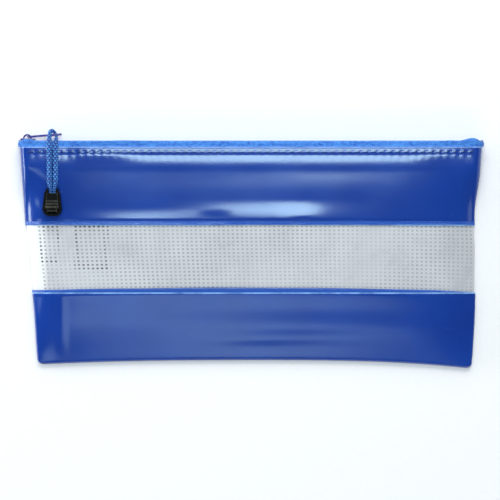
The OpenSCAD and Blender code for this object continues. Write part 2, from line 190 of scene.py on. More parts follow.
MM = 0.001
SIZE_FILE = "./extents.json"
Colour = tuple[float, float, float]
Place = Callable[[float, float], Vector]


# ---- Helpers for numbers ----


def clamp(value: float, low: float = 0.0, high: float = 1.0) -> float:
    """Keep a value between two limits."""
    return min(high, max(low, value))


def smooth(value: float, low: float = 0.0, high: float = 1.0) -> float:
    """Rise smoothly from 0 at low to 1 at high.

    Args:
        value: Where to read the step.
        low: Where the step starts.
        high: Where the step ends.

    Returns:
        A number from 0 to 1.
    """
    t = clamp((value - low) / (high - low))
    return t * t * (3 - 2 * t)


def hump(value: float, middle: float, half_width: float) -> float:
    """Give 1 at the middle, falling smoothly to 0 at half_width to either side."""
    return 1 - smooth(abs(value - middle), 0, half_width)


def mix(a: float, b: float, t: float) -> float:
    """Blend two numbers."""
    return a + (b - a) * t


# ---- Helpers for meshes ----


def new_object(name: str, bm: bmesh.types.BMesh, materials: Sequence[bpy.types.Material]) -> bpy.types.Object:
    """Turn a bmesh into a smooth-shaded object at the origin.

    Args:
        name: Name of the piece.
        bm: The mesh, which is freed.
        materials: The piece's material slots, in order.

    Returns:
        The new object, linked to the scene.
    """
    for face in bm.faces:
        face.smooth = True
    mesh = bpy.data.meshes.new(name)
    bm.to_mesh(mesh)
    bm.free()
    for material in materials:
        mesh.materials.append(material)
    made = bpy.data.objects.new(name, mesh)
    bpy.context.scene.collection.objects.link(made)
    return made


def add_grid(
    bm: bmesh.types.BMesh,
    columns: int,
    rows: int,
    place: Place,
    uv_size: tuple[float, float] = (1.0, 1.0),
    along_first: bool = False,
) -> list[bmesh.types.BMVert]:
    """Add a grid whose points are laid out by a rule.

    Args:
        bm: The mesh that the grid joins.
        columns: Number of faces across.
        rows: Number of faces along.
        place: Gives the point for (across, along), both from 0 to 1.
        uv_size: Size of the grid's UV map, in metres when a pattern needs real scale.
        along_first: Whether the first grid direction is the map's V, as on a tube.

    Returns:
        The grid's vertices.
    """
    uv_layer = bm.loops.layers.uv.verify()
    made = bmesh.ops.create_grid(bm, x_segments=columns, y_segments=rows, size=0.5)["verts"]
    spots = {vert: (vert.co.x + 0.5, vert.co.y + 0.5) for vert in made}
    faces = {face for vert in made for face in vert.link_faces}
    for face in faces:
        for loop in face.loops:
            s, t = spots[loop.vert]
            across, along = (t, s) if along_first else (s, t)
            loop[uv_layer].uv = (across * uv_size[0], along * uv_size[1])
    for vert, (s, t) in spots.items():
        vert.co = place(s, t)
    return made


def cap_ends(bm: bmesh.types.BMesh) -> None:
    """Close every open end of a mesh and turn its faces outwards."""
    rims = [edge for edge in bm.edges if edge.is_boundary]
    bmesh.ops.holes_fill(bm, edges=rims, sides=0)
    bmesh.ops.recalc_face_normals(bm, faces=bm.faces[:])


def across_line(line: Sequence[Vector]) -> list[tuple[Vector, Vector]]:
    """Carry a pair of directions along a line without twisting it.

    Args:
        line: The line's points.

    Returns:
        Two unit vectors at each point, square to the line and to each other.
    """
    last = len(line) - 1
    frames = []
    side = None
    for i in range(last + 1):
        ahead = (line[min(i + 1, last)] - line[max(i - 1, 0)]).normalized()
        if side is None:
            side = ahead.orthogonal() if abs(ahead.x) > 0.9 else ahead.cross(Vector((1, 0, 0)))
        side = (side - ahead * side.dot(ahead)).normalized()
        frames.append((side, ahead.cross(side)))
    return frames


def add_tube(
    bm: bmesh.types.BMesh,
    line: Sequence[Vector],
    radii: Sequence[float],
    sides: int,
    crowns: Optional[Sequence[float]] = None,
) -> None:
    """Add a round tube along a line, its seam closed and its ends still open.

    Args:
        bm: The mesh that the tube joins.
        line: The tube's middle.
        radii: The tube's radius at each point of the line.
        sides: Number of faces around it.
        crowns: How far out the yarn lies at each point of the line, from 0 to 1; its finish paints the yarn lighter
            there as a highlight and darker where it dips under, as shade.
    """
    frames = across_line(line)
    spans = len(line) - 1
    # The crown attribute carries painted light: a highlight where a yarn lies out, shade where it dips under.
    crown_shading_layer = bm.verts.layers.float.get("crown") or bm.verts.layers.float.new("crown")

    def place(s: float, t: float) -> Vector:
        """Give the point at s along the tube and t round it."""
        i = round(s * spans)
        angle = math.tau * t
        side, up = frames[i]
        return line[i] + radii[i] * (math.cos(angle) * side + math.sin(angle) * up)

    length = sum((line[i + 1] - line[i]).length for i in range(spans))
    made = add_grid(bm, spans, sides, place, (math.tau * max(radii), length), along_first=True)
    if crowns is not None:
        for number, vert in enumerate(made):
            vert[crown_shading_layer] = crowns[number % (spans + 1)]
    bmesh.ops.remove_doubles(bm, verts=made, dist=1e-7)


def spline(points: Sequence[Sequence[float]], per_span: int) -> list[list[float]]:
    """Run a smooth Catmull-Rom line through points of any dimension.

    Args:
        points: The points it passes through.
        per_span: Number of steps between two of them.

    Returns:
        The line's points, ends included.
    """
    line: list[list[float]] = []
    last = len(points) - 1
    for i in range(last):
        before, after = points[max(i - 1, 0)], points[min(i + 2, last)]
        start, end = points[i], points[i + 1]
        for k in range(per_span):
            t = k / per_span
            weights = (
                -0.5 * t + t * t - 0.5 * t ** 3,
                1 - 2.5 * t * t + 1.5 * t ** 3,
                0.5 * t + 2 * t * t - 1.5 * t ** 3,
                -0.5 * t * t + 0.5 * t ** 3,
            )
            line.append([
                sum(w * p[axis] for w, p in zip(weights, (before, start, end, after)))
                for axis in range(len(start))
            ])
    line.append(list(points[last]))
    return line


def thicken(piece: bpy.types.Object, thickness: float) -> None:
    """Give an open sheet its thickness, measured inwards from its outer skin."""
    wall = piece.modifiers.new("wall", "SOLIDIFY")
    wall.thickness = thickness
    wall.offset = -1
    wall.use_even_offset = False


def refine(piece: bpy.types.Object, levels: int = 1) -> None:
    """Round a mesh by subdivision, the same in view and in render."""
    rounding = piece.modifiers.new("rounding", "SUBSURF")
    rounding.levels = levels
    rounding.render_levels = levels


# ---- Helpers for materials ----


class NodeKit:
    """Builds the node tree of one material."""

    def __init__(self, name: str) -> None:
        """Start an empty material."""
        self.material = bpy.data.materials.new(name)
        self.material.use_nodes = True
        self.tree = self.material.node_tree
        self.tree.nodes.clear()
        self.output = self.add("ShaderNodeOutputMaterial")

    def add(self, kind: str, inputs: Optional[dict] = None, **settings: object) -> bpy.types.Node:
        """Add a node.

        Args:
            kind: Blender's name of the node's type.
            inputs: Value or output socket for each named or numbered input.
            settings: The node's own properties.

        Returns:
            The node.
        """
        node = self.tree.nodes.new(kind)
        for key, value in settings.items():
            setattr(node, key, value)
        for key, value in (inputs or {}).items():
            if isinstance(value, bpy.types.NodeSocket):
                self.tree.links.new(value, node.inputs[key])
            else:
                node.inputs[key].default_value = value
        return node

    def coordinates(self, source: str = "Object") -> bpy.types.NodeSocket:
        """Give the piece's own Object or UV coordinates."""
        return self.add("ShaderNodeTexCoord").outputs[source]

    def scaled(self, source: bpy.types.NodeSocket, scale: Sequence[float] = (1, 1, 1),
               turn: float = 0.0) -> bpy.types.NodeSocket:
        """Stretch and turn coordinates."""
        return self.add("ShaderNodeMapping", {0: source, 2: (0, 0, turn), 3: tuple(scale)}).outputs[0]

    def noise(self, source: bpy.types.NodeSocket, scale: float, detail: float = 3.0,
              distortion: float = 0.0) -> bpy.types.NodeSocket:
        """Add cloudy noise, as a factor around 0.5."""
        return self.add("ShaderNodeTexNoise", {
            "Vector": source, "Scale": scale, "Detail": detail, "Distortion": distortion,
        }).outputs[0]

    def wave(self, source: bpy.types.NodeSocket, scale: float, direction: str = "X",
             distortion: float = 0.0) -> bpy.types.NodeSocket:
        """Add parallel waves along one axis, as a factor from 0 to 1."""
        return self.add("ShaderNodeTexWave", {
            "Vector": source, "Scale": scale, "Distortion": distortion, "Detail": 1.0,
        }, bands_direction=direction).outputs[1]

    def math(self, operation: str, *values: Union[float, bpy.types.NodeSocket]) -> bpy.types.NodeSocket:
        """Combine numbers with one arithmetic operation."""
        return self.add("ShaderNodeMath", dict(enumerate(values)), operation=operation).outputs[0]

    def remap(self, value: bpy.types.NodeSocket, low: float, high: float,
              to_low: float = 0.0, to_high: float = 1.0) -> bpy.types.NodeSocket:
        """Map a range of a factor to another range, clamped."""
        return self.add("ShaderNodeMapRange", {0: value, 1: low, 2: high, 3: to_low, 4: to_high}).outputs[0]

    def blend(self, factor: bpy.types.NodeSocket, a: Union[Colour, bpy.types.NodeSocket],
              b: Union[Colour, bpy.types.NodeSocket]) -> bpy.types.NodeSocket:
        """Mix two colours by a factor."""
        node = self.add("ShaderNodeMix", {"Factor": factor}, data_type="RGBA")
        for index, colour in ((6, a), (7, b)):
            if isinstance(colour, bpy.types.NodeSocket):
                self.tree.links.new(colour, node.inputs[index])
            else:
                node.inputs[index].default_value = (*colour, 1.0)
        return node.outputs[2]

    def bump(self, height: bpy.types.NodeSocket, distance: float, strength: float = 1.0,
             under: Optional[bpy.types.NodeSocket] = None) -> bpy.types.NodeSocket:
        """Turn a height into a normal, over another bump if one is given."""
        inputs = {"Height": height, "Distance": distance, "Strength": strength}
        if under is not None:
            inputs["Normal"] = under
        return self.add("ShaderNodeBump", inputs).outputs[0]

    def surface(self, shader: bpy.types.NodeSocket) -> bpy.types.Material:
        """Connect the finished shader and return the material."""
        self.tree.links.new(shader, self.output.inputs["Surface"])
        return self.material

    def principled(self, **inputs: object) -> bpy.types.Node:
        """Add the main shader; an underscore in a name stands for a space."""
        named = {key.replace("_", " "): value for key, value in inputs.items()}
        return self.add("ShaderNodeBsdfPrincipled", named)


def wave_scale(pitch: float) -> float:
    """Give the wave texture's scale for waves that are pitch metres apart."""
    return math.tau / 20 / pitch


@dataclass(frozen=True)
class VinylFinish:
    """Solid glossy flexible vinyl with welded edges."""

    deep: Colour = (0.0042, 0.034, 0.260)
    light: Colour = (0.0062, 0.044, 0.305)
    # Colour of the weld strips: the blue lightened as a painted highlight, where the ribs catch the light.
    pressed: Colour = (0.035, 0.130, 0.560)
    # Colour of the cut edges: partly the pale cut vinyl, partly a painted highlight where the edge catches the light.
    cut: Colour = (0.25, 0.47, 0.86)
    rubbed: Colour = (0.05, 0.12, 0.46)
    roughness: float = 0.15
    rib_pitch: float = 1.25 * MM

    def make(self, welds: Sequence[float], rims: Sequence[float]) -> bpy.types.Material:
        """Build the material.

        Args:
            welds: Y of the middle of each ribbed weld strip, which is painted lighter there as a highlight.
            rims: Y of each cut edge, painted pale: partly the cut vinyl's own colour, partly a painted highlight where
                the edge catches the light.

        Returns:
            The material.
        """
        kit = NodeKit("blue_vinyl")
        where = kit.coordinates()
        cloud = kit.noise(where, 26, 3)
        grain = kit.noise(where, 900, 2)
        scuff = kit.noise(kit.scaled(where, (1, 4, 1), 0.4), 60, 6, 1.5)
        colour = kit.blend(kit.remap(cloud, 0.3, 0.7), self.deep, self.light)
        colour = kit.blend(kit.remap(scuff, 0.66, 0.8, 0, 0.2), colour, self.rubbed)
        strip = self.near_lines(kit, where, welds, 1.0 * MM, 1.3 * MM)
        edge = self.near_lines(kit, where, rims, 0.28 * MM, 0.55 * MM)
        # The cut edges, patchy along their length: their own paleness together with a painted highlight.
        pale_lit_edge = kit.math("MULTIPLY", edge, kit.remap(kit.noise(where, 130, 3), 0.3, 0.6, 0.35, 1.0))
        # Painted highlight: the weld strips are lightened towards the pressed colour, where their ribs catch the
        # light.
        colour = kit.blend(kit.math("MULTIPLY", strip, 0.55), colour, self.pressed)
        colour = kit.blend(pale_lit_edge, colour, self.cut)
        ribs = kit.wave(where, wave_scale(self.rib_pitch), "X")
        normal = kit.bump(grain, 0.02 * MM, 0.5)
        normal = kit.bump(kit.math("MULTIPLY", ribs, strip), 0.12 * MM, 1.0, normal)
        shine = kit.remap(kit.math("ADD", kit.noise(where, 45, 5), kit.math("MULTIPLY", scuff, 0.3)),
                          0.5, 0.9, self.roughness, self.roughness + 0.03)
        body = kit.principled(
            Base_Color=colour, Roughness=shine, Normal=normal, IOR=1.53, Specular_Tint=(0.80, 0.97, 1.0, 1),
        )
        return kit.surface(body.outputs[0])

    @staticmethod
    def near_lines(kit: NodeKit, where: bpy.types.NodeSocket, lines: Sequence[float], full: float,
                   gone: float) -> bpy.types.NodeSocket:
        """Give a factor of 1 close to any of several lines along X, falling to 0 a little way off.

        Args:
            kit: The material's node kit.
            where: Object coordinates.
            lines: Y of each line.
            full: Distance up to which the factor is 1.
            gone: Distance at which it is 0.

        Returns:
            The factor.
        """
        y = kit.add("ShaderNodeSeparateXYZ", {0: where}).outputs[1]
        factor = None
        for line in lines:
            away = kit.math("ABSOLUTE", kit.math("SUBTRACT", y, line))
            near = kit.remap(away, full, gone, 1.0, 0.0)
            factor = near if factor is None else kit.math("MAXIMUM", factor, near)
        return factor


@dataclass(frozen=True)
class ScrimFinish:
    """White polyester yarn under clear vinyl film."""

    white: Colour = (0.60, 0.61, 0.635)
    shade: Colour = (0.52, 0.53, 0.555)
    seam: Colour = (0.74, 0.76, 0.77)

    def make(self, seam_x: float) -> bpy.types.Material:
        """Build the material of the yarns.

        Args:
            seam_x: Where the double, whiter cloth of the left side seam ends.

        Returns:
            The material.
        """
        kit = NodeKit("scrim_yarn")
        where = kit.coordinates()
        fibre = kit.wave(kit.scaled(where, turn=0.785), 900, "X", 2.0)
        cloud = kit.noise(where, 60, 4)
        colour = kit.blend(kit.remap(cloud, 0.3, 0.7), self.shade, self.white)
        across = kit.add("ShaderNodeSeparateXYZ", {0: where}).outputs[0]
        colour = kit.blend(kit.remap(across, seam_x, seam_x + 3 * MM, 1.0, 0.0), colour, self.seam)
        normal = kit.bump(fibre, 0.03 * MM, 0.5)
        shine = kit.remap(cloud, 0.2, 0.8, 0.22, 0.4)
        body = kit.principled(
            Base_Color=colour, Roughness=shine, Normal=normal, Coat_Weight=0.5, Coat_Roughness=0.15,
        )
        return kit.surface(body.outputs[0])


@dataclass(frozen=True)
class FilmFinish:
    """Clear film in the scrim's holes, hazy where it stands off the back and clear where it clings."""

    tint: Colour = (0.80, 0.82, 0.84)
    wet: Colour = (0.20, 0.22, 0.22)
    milk: Colour = (0.50, 0.53, 0.545)
    haze_low: float = 0.62
    haze_high: float = 0.96

    def make(self, cling: Sequence[tuple[float, float, float, float]]) -> bpy.types.Material:
        """Build the material of the film.

        Args:
            cling: Middle x and y and half sizes of each place where the film clings.

        Returns:
            The material.
        """
        kit = NodeKit("clear_film")
        where = kit.coordinates()
        split = kit.add("ShaderNodeSeparateXYZ", {0: where})
        haze = kit.noise(where, 22, 3)
        spots = kit.noise(where, 380, 2)
        wetness = None
        for x, y, half_w, half_h in cling:
            off_x = kit.math("ABSOLUTE", kit.math("SUBTRACT", split.outputs[0], x))
            off_y = kit.math("ABSOLUTE", kit.math("SUBTRACT", split.outputs[1], y))
            away = kit.math("MAXIMUM", kit.math("DIVIDE", off_x, half_w), kit.math("DIVIDE", off_y, half_h))
            inside = kit.remap(away, 1.0, 1.06, 1.0, 0.0)
            rim = kit.math("MULTIPLY", inside, kit.remap(away, 0.6, 0.95, 0.22, 0.85))
            wetness = rim if wetness is None else kit.math("MAXIMUM", wetness, rim)
        wetness = kit.math("MULTIPLY", wetness, kit.remap(spots, 0.3, 0.6, 0.55, 1.0))
        seen = kit.blend(wetness, self.tint, self.wet)
        clear = kit.add("ShaderNodeBsdfTransparent", {"Color": seen})
        shine = kit.remap(haze, 0.3, 0.7, 0.1, 0.2)
        gloss = kit.principled(Base_Color=(*self.milk, 1), Roughness=shine, IOR=1.5)
        mottle = kit.math("ADD", haze, kit.math("MULTIPLY", spots, 0.3))
        fog = kit.remap(mottle, 0.45, 0.85, self.haze_low, self.haze_high)
        share = kit.math("MULTIPLY", fog, kit.math("SUBTRACT", 1.0, wetness))
        both = kit.add("ShaderNodeMixShader", {0: share, 1: clear.outputs[0], 2: gloss.outputs[0]})
        return kit.surface(both.outputs[0])


@dataclass(frozen=True)
class WovenFinish:
    """Woven polyester tape; its UV map is in metres, across and along."""

    name: str
    dark: Colour
    light: Colour
    pitch: float = 0.9 * MM

    def make(self) -> bpy.types.Material:
        """Build the material."""
        kit = NodeKit(self.name)
        flat = kit.coordinates("UV")
        turns = wave_scale(self.pitch)
        rise = kit.wave(kit.scaled(flat, turn=0.6), turns, "X", 0.4)
        fall = kit.wave(kit.scaled(flat, turn=-0.6), turns, "X", 0.4)
        weave = kit.math("MULTIPLY", rise, fall)
        fuzz = kit.noise(flat, 2600, 3)
        cloud = kit.noise(kit.coordinates(), 70, 3)
        mottle = kit.noise(kit.scaled(kit.coordinates(), (1, 1.4, 1.4)), 420, 3)
        tone = kit.math("ADD", kit.math("MULTIPLY", weave, 0.4), kit.math("MULTIPLY", cloud, 0.25))
        tone = kit.math("ADD", tone, kit.math("MULTIPLY", mottle, 0.9))
        colour = kit.blend(kit.remap(tone, 0.4, 0.95), self.dark, self.light)
        normal = kit.bump(fuzz, 0.03 * MM, 0.6, kit.bump(weave, 0.16 * MM, 1.0))
        shine = kit.remap(weave, 0, 1, 0.75, 0.5)
        body = kit.principled(
            Base_Color=colour, Roughness=shine, Normal=normal, Sheen_Weight=0.35, Sheen_Roughness=0.4,
            Specular_IOR_Level=0.35,
        )
        return kit.surface(body.outputs[0])


@dataclass(frozen=True)
class YarnFinish:
    """Twisted or braided polyester yarn; its UV map runs along each yarn in metres. Where a piece has the crown
    attribute, the yarns are painted lighter where they lie out and darker where they dip under: painted highlight and
    painted shade.
    """

    name: str
    dark: Colour
    light: Colour
    twist: float = 0.5 * MM
    sheen: float = 0.3

    def make(self) -> bpy.types.Material:
        """Build the material."""
        kit = NodeKit(self.name)
        flat = kit.coordinates("UV")
        plies = kit.wave(kit.scaled(flat, turn=0.5), wave_scale(self.twist), "Y", 0.8)
        cloud = kit.noise(kit.coordinates(), 380, 4)
        # Painted highlight and painted shade: the crown attribute lightens the yarns where they lie out and darkens
        # them where they dip under.
        crown = kit.add("ShaderNodeAttribute", attribute_name="crown").outputs["Fac"]
        tone = kit.math("ADD", kit.math("MULTIPLY", plies, 0.2), kit.math("MULTIPLY", cloud, 0.4))
        colour = kit.blend(kit.remap(kit.math("ADD", tone, crown), 1.0, 1.4), self.dark, self.light)
        normal = kit.bump(plies, 0.05 * MM, 0.8)
        shine = kit.remap(cloud, 0.3, 0.7, 0.38, 0.62)
        body = kit.principled(
            Base_Color=colour, Roughness=shine, Normal=normal, Sheen_Weight=self.sheen, Sheen_Roughness=0.35,
        )
        return kit.surface(body.outputs[0])


@dataclass(frozen=True)
class NylonFinish:
    """Moulded nylon filament of the coils."""

    dark: Colour = (0.012, 0.07, 0.36)
    light: Colour = (0.04, 0.20, 0.62)

    def make(self) -> bpy.types.Material:
        """Build the material."""
        kit = NodeKit("coil_nylon")
        where = kit.coordinates()
        cloud = kit.noise(where, 500, 3)
        colour = kit.blend(kit.remap(cloud, 0.3, 0.7), self.dark, self.light)
        body = kit.principled(
            Base_Color=colour, Roughness=kit.remap(cloud, 0.2, 0.8, 0.22, 0.38),
            Normal=kit.bump(cloud, 0.01 * MM, 0.5), IOR=1.53,
        )
        return kit.surface(body.outputs[0])


@dataclass(frozen=True)
class EnamelFinish:
    """Stove enamel over a zinc casting, with a few rubbed specks."""

    paint: Colour = (0.014, 0.012, 0.190)
    thin: Colour = (0.040, 0.036, 0.330)
    zinc: Colour = (0.45, 0.46, 0.50)

    def make(self) -> bpy.types.Material:
        """Build the material."""
        kit = NodeKit("slider_enamel")
        where = kit.coordinates()
        cloud = kit.noise(where, 220, 4)
        specks = kit.remap(kit.noise(where, 1100, 4, 0.6), 0.70, 0.74)
        colour = kit.blend(kit.remap(cloud, 0.35, 0.65), self.paint, self.thin)
        colour = kit.blend(specks, colour, self.zinc)
        orange_peel = kit.noise(where, 1500, 2)
        normal = kit.bump(specks, 0.03 * MM, 0.6, kit.bump(orange_peel, 0.03 * MM, 0.4))
        body = kit.principled(
            Base_Color=colour, Metallic=kit.math("MULTIPLY", specks, 0.9), Normal=normal,
            Roughness=kit.remap(cloud, 0.3, 0.7, 0.22, 0.36), Coat_Weight=0.4, Coat_Roughness=0.1,
        )
        return kit.surface(body.outputs[0])


@dataclass(frozen=True)
class MouldedFinish:
    """Black moulded plastic, satin and rubbed grey where it is handled."""

    name: str
    black: Colour
    rubbed: Colour
    gloss: float

    def make(self) -> bpy.types.Material:
        """Build the material."""
        kit = NodeKit(self.name)
        where = kit.coordinates()
        spark = kit.noise(where, 1400, 3)
        cloud = kit.noise(where, 260, 5, 0.8)
        colour = kit.blend(kit.remap(cloud, 0.50, 0.78), self.black, self.rubbed)
        shine = kit.remap(cloud, 0.3, 0.75, 0.28, 0.5)
        body = kit.principled(
            Base_Color=colour, Roughness=shine, Specular_IOR_Level=self.gloss,
            Normal=kit.bump(spark, 0.03 * MM, 0.5), IOR=1.5,
        )
        return kit.surface(body.outputs[0])


@dataclass(frozen=True)
class FloorFinish:
    """Matt white studio paper."""

    white: Colour = (0.93, 0.93, 0.93)
    fleck: float = 0.985

    def make(self) -> bpy.types.Material:
        """Build the material."""
        kit = NodeKit("studio_paper")
        fibre = kit.noise(kit.coordinates(), 300, 3)
        flecked = tuple(channel * self.fleck for channel in self.white)
        body = kit.principled(
            Base_Color=kit.blend(kit.remap(fibre, 0.3, 0.7), flecked, self.white),
            Roughness=0.9, Specular_IOR_Level=0.1,
        )
        return kit.surface(body.outputs[0])


@dataclass
class Finishes:
    """Every material of the bag, made once."""

    welds: Sequence[float]
    rims: Sequence[float]
    cling: Sequence[tuple[float, float, float, float]]
    seam_x: float
    vinyl: bpy.types.Material = field(init=False)
    scrim: bpy.types.Material = field(init=False)
    film: bpy.types.Material = field(init=False)
    tape: bpy.types.Material = field(init=False)
    thread: bpy.types.Material = field(init=False)
    cord: bpy.types.Material = field(init=False)
    nylon: bpy.types.Material = field(init=False)
    enamel: bpy.types.Material = field(init=False)
    plastic: bpy.types.Material = field(init=False)
    worn_and_lit_plastic: bpy.types.Material = field(init=False)

    def __post_init__(self) -> None:
        """Make the materials."""
        self.vinyl = VinylFinish().make(self.welds, self.rims)
        self.scrim = ScrimFinish().make(self.seam_x)
        self.film = FilmFinish().make(self.cling)
        self.tape = WovenFinish("woven_tape", (0.006, 0.070, 0.46), (0.090, 0.36, 0.86)).make()
        self.thread = YarnFinish("sewing_thread", (0.003, 0.008, 0.075), (0.03, 0.07, 0.32)).make()
        # The cord's dark colour is painted shade in the braid's gaps, and its light colour a painted highlight on the
        # yarns' crowns.
        self.cord = YarnFinish(
            "braided_yarn", (0.0002, 0.012, 0.20), (0.09, 0.42, 0.94), twist=0.35 * MM, sheen=0.0,
        ).make()
        self.nylon = NylonFinish().make()
        self.enamel = EnamelFinish().make()
        self.plastic = MouldedFinish(
            "cord_end_plastic", black=(0.0015, 0.0015, 0.0015), rubbed=(0.010, 0.010, 0.008), gloss=0.06,
        ).make()
        # Grey for the cord end's rounded edges: a painted highlight where the bevels catch the light, with some rubbed
        # wear.
        self.worn_and_lit_plastic = MouldedFinish(
            "rubbed_plastic", black=(0.15, 0.15, 0.12), rubbed=(0.42, 0.40, 0.31), gloss=0.5,
        ).make()


# ---- Shape of the bag ----


class Face(Enum):
    """The two faces of the bag."""

    FRONT = 1
    BACK = -1


@dataclass
class Drape:
    """The faint unevenness of the vinyl, found by a cloth simulation.

    A sheet a little larger than its frame is pinned along its border and settles into long shallow rolls. The
    rolls are then scaled to the height that shows in the gloss, and read at any place on the face.
    """

    half_w: float
    low: float
    high: float
    columns: int = 56
    rows: int = 26
    spare: float = -0.012
    frames: int = 26
    most: float = 0.072 * MM
    heights: list[list[float]] = field(default_factory=list)

    def place(self, s: float, t: float) -> Vector:
        """Give the sheet's starting point, with the faint rolls that it starts from."""
        x, y = mix(-self.half_w, self.half_w, s), mix(self.low, self.high, t)
        inner = math.sin(math.pi * s) * math.sin(math.pi * t)
        seed = math.sin(11 * s + 7 * t) + math.sin(17 * t - 4 * s + 1.3) + 0.8 * math.sin(23 * s + 2.0)
        return Vector((x, y, 0.25 * MM * inner * seed))

    def settle(self) -> None:
        """Run the simulation and keep the rolls it leaves."""
        bm = bmesh.new()
        add_grid(bm, self.columns, self.rows, self.place)
        sheet = new_object("settling_sheet", bm, [])
        rim = sheet.vertex_groups.new(name="rim")
        edge = 0.5 * (self.high - self.low) / self.rows
        pinned = [
            vert.index for vert in sheet.data.vertices
            if abs(vert.co.x) > self.half_w - edge or not self.low + edge < vert.co.y < self.high - edge
        ]
        rim.add(pinned, 1.0, "REPLACE")
        cloth = sheet.modifiers.new("cloth", "CLOTH")
        cloth.settings.vertex_group_mass = "rim"
        cloth.settings.shrink_min = self.spare
        cloth.settings.mass = 0.05
        cloth.settings.bending_stiffness = 25.0
        cloth.settings.tension_stiffness = 40.0
        cloth.settings.compression_stiffness = 40.0
        cloth.settings.effector_weights.gravity = 0.0
        cloth.settings.quality = 8
        cloth.point_cache.frame_start = 1
        cloth.point_cache.frame_end = self.frames
        scene = bpy.context.scene
        for frame_number in range(1, self.frames + 1):
            scene.frame_set(frame_number)
        settled = sheet.evaluated_get(bpy.context.evaluated_depsgraph_get()).to_mesh()
        wide = self.columns + 1
        raw = [[0.0] * wide for _ in range(self.rows + 1)]
        for before, after in zip(sheet.data.vertices, settled.vertices):
            i = round((before.co.x + self.half_w) / (2 * self.half_w) * self.columns)
            j = round((before.co.y - self.low) / (self.high - self.low) * self.rows)
            raw[j][i] = after.co.z
        top = max(max(abs(h) for h in row) for row in raw) or 1.0
        self.heights = [[h / top * self.most for h in row] for row in raw]
        sheet.evaluated_get(bpy.context.evaluated_depsgraph_get()).to_mesh_clear()
        scene.frame_set(1)
        bpy.data.objects.remove(sheet)
        log.info("cloth settled: highest roll %.2f mm before scaling", top / MM)

    def relief(self, x: float, y: float) -> float:
        """Give the roll's height at a place on the face, or 0 without a simulation."""
        if not self.heights:
            return 0.0
        s = clamp((x + self.half_w) / (2 * self.half_w)) * self.columns
        t = clamp((y - self.low) / (self.high - self.low)) * self.rows
        i, j = min(int(s), self.columns - 1), min(int(t), self.rows - 1)
        a, b = s - i, t - j
        low = mix(self.heights[j][i], self.heights[j][i + 1], a)
        high = mix(self.heights[j + 1][i], self.heights[j + 1][i + 1], a)
        return mix(low, high, b)


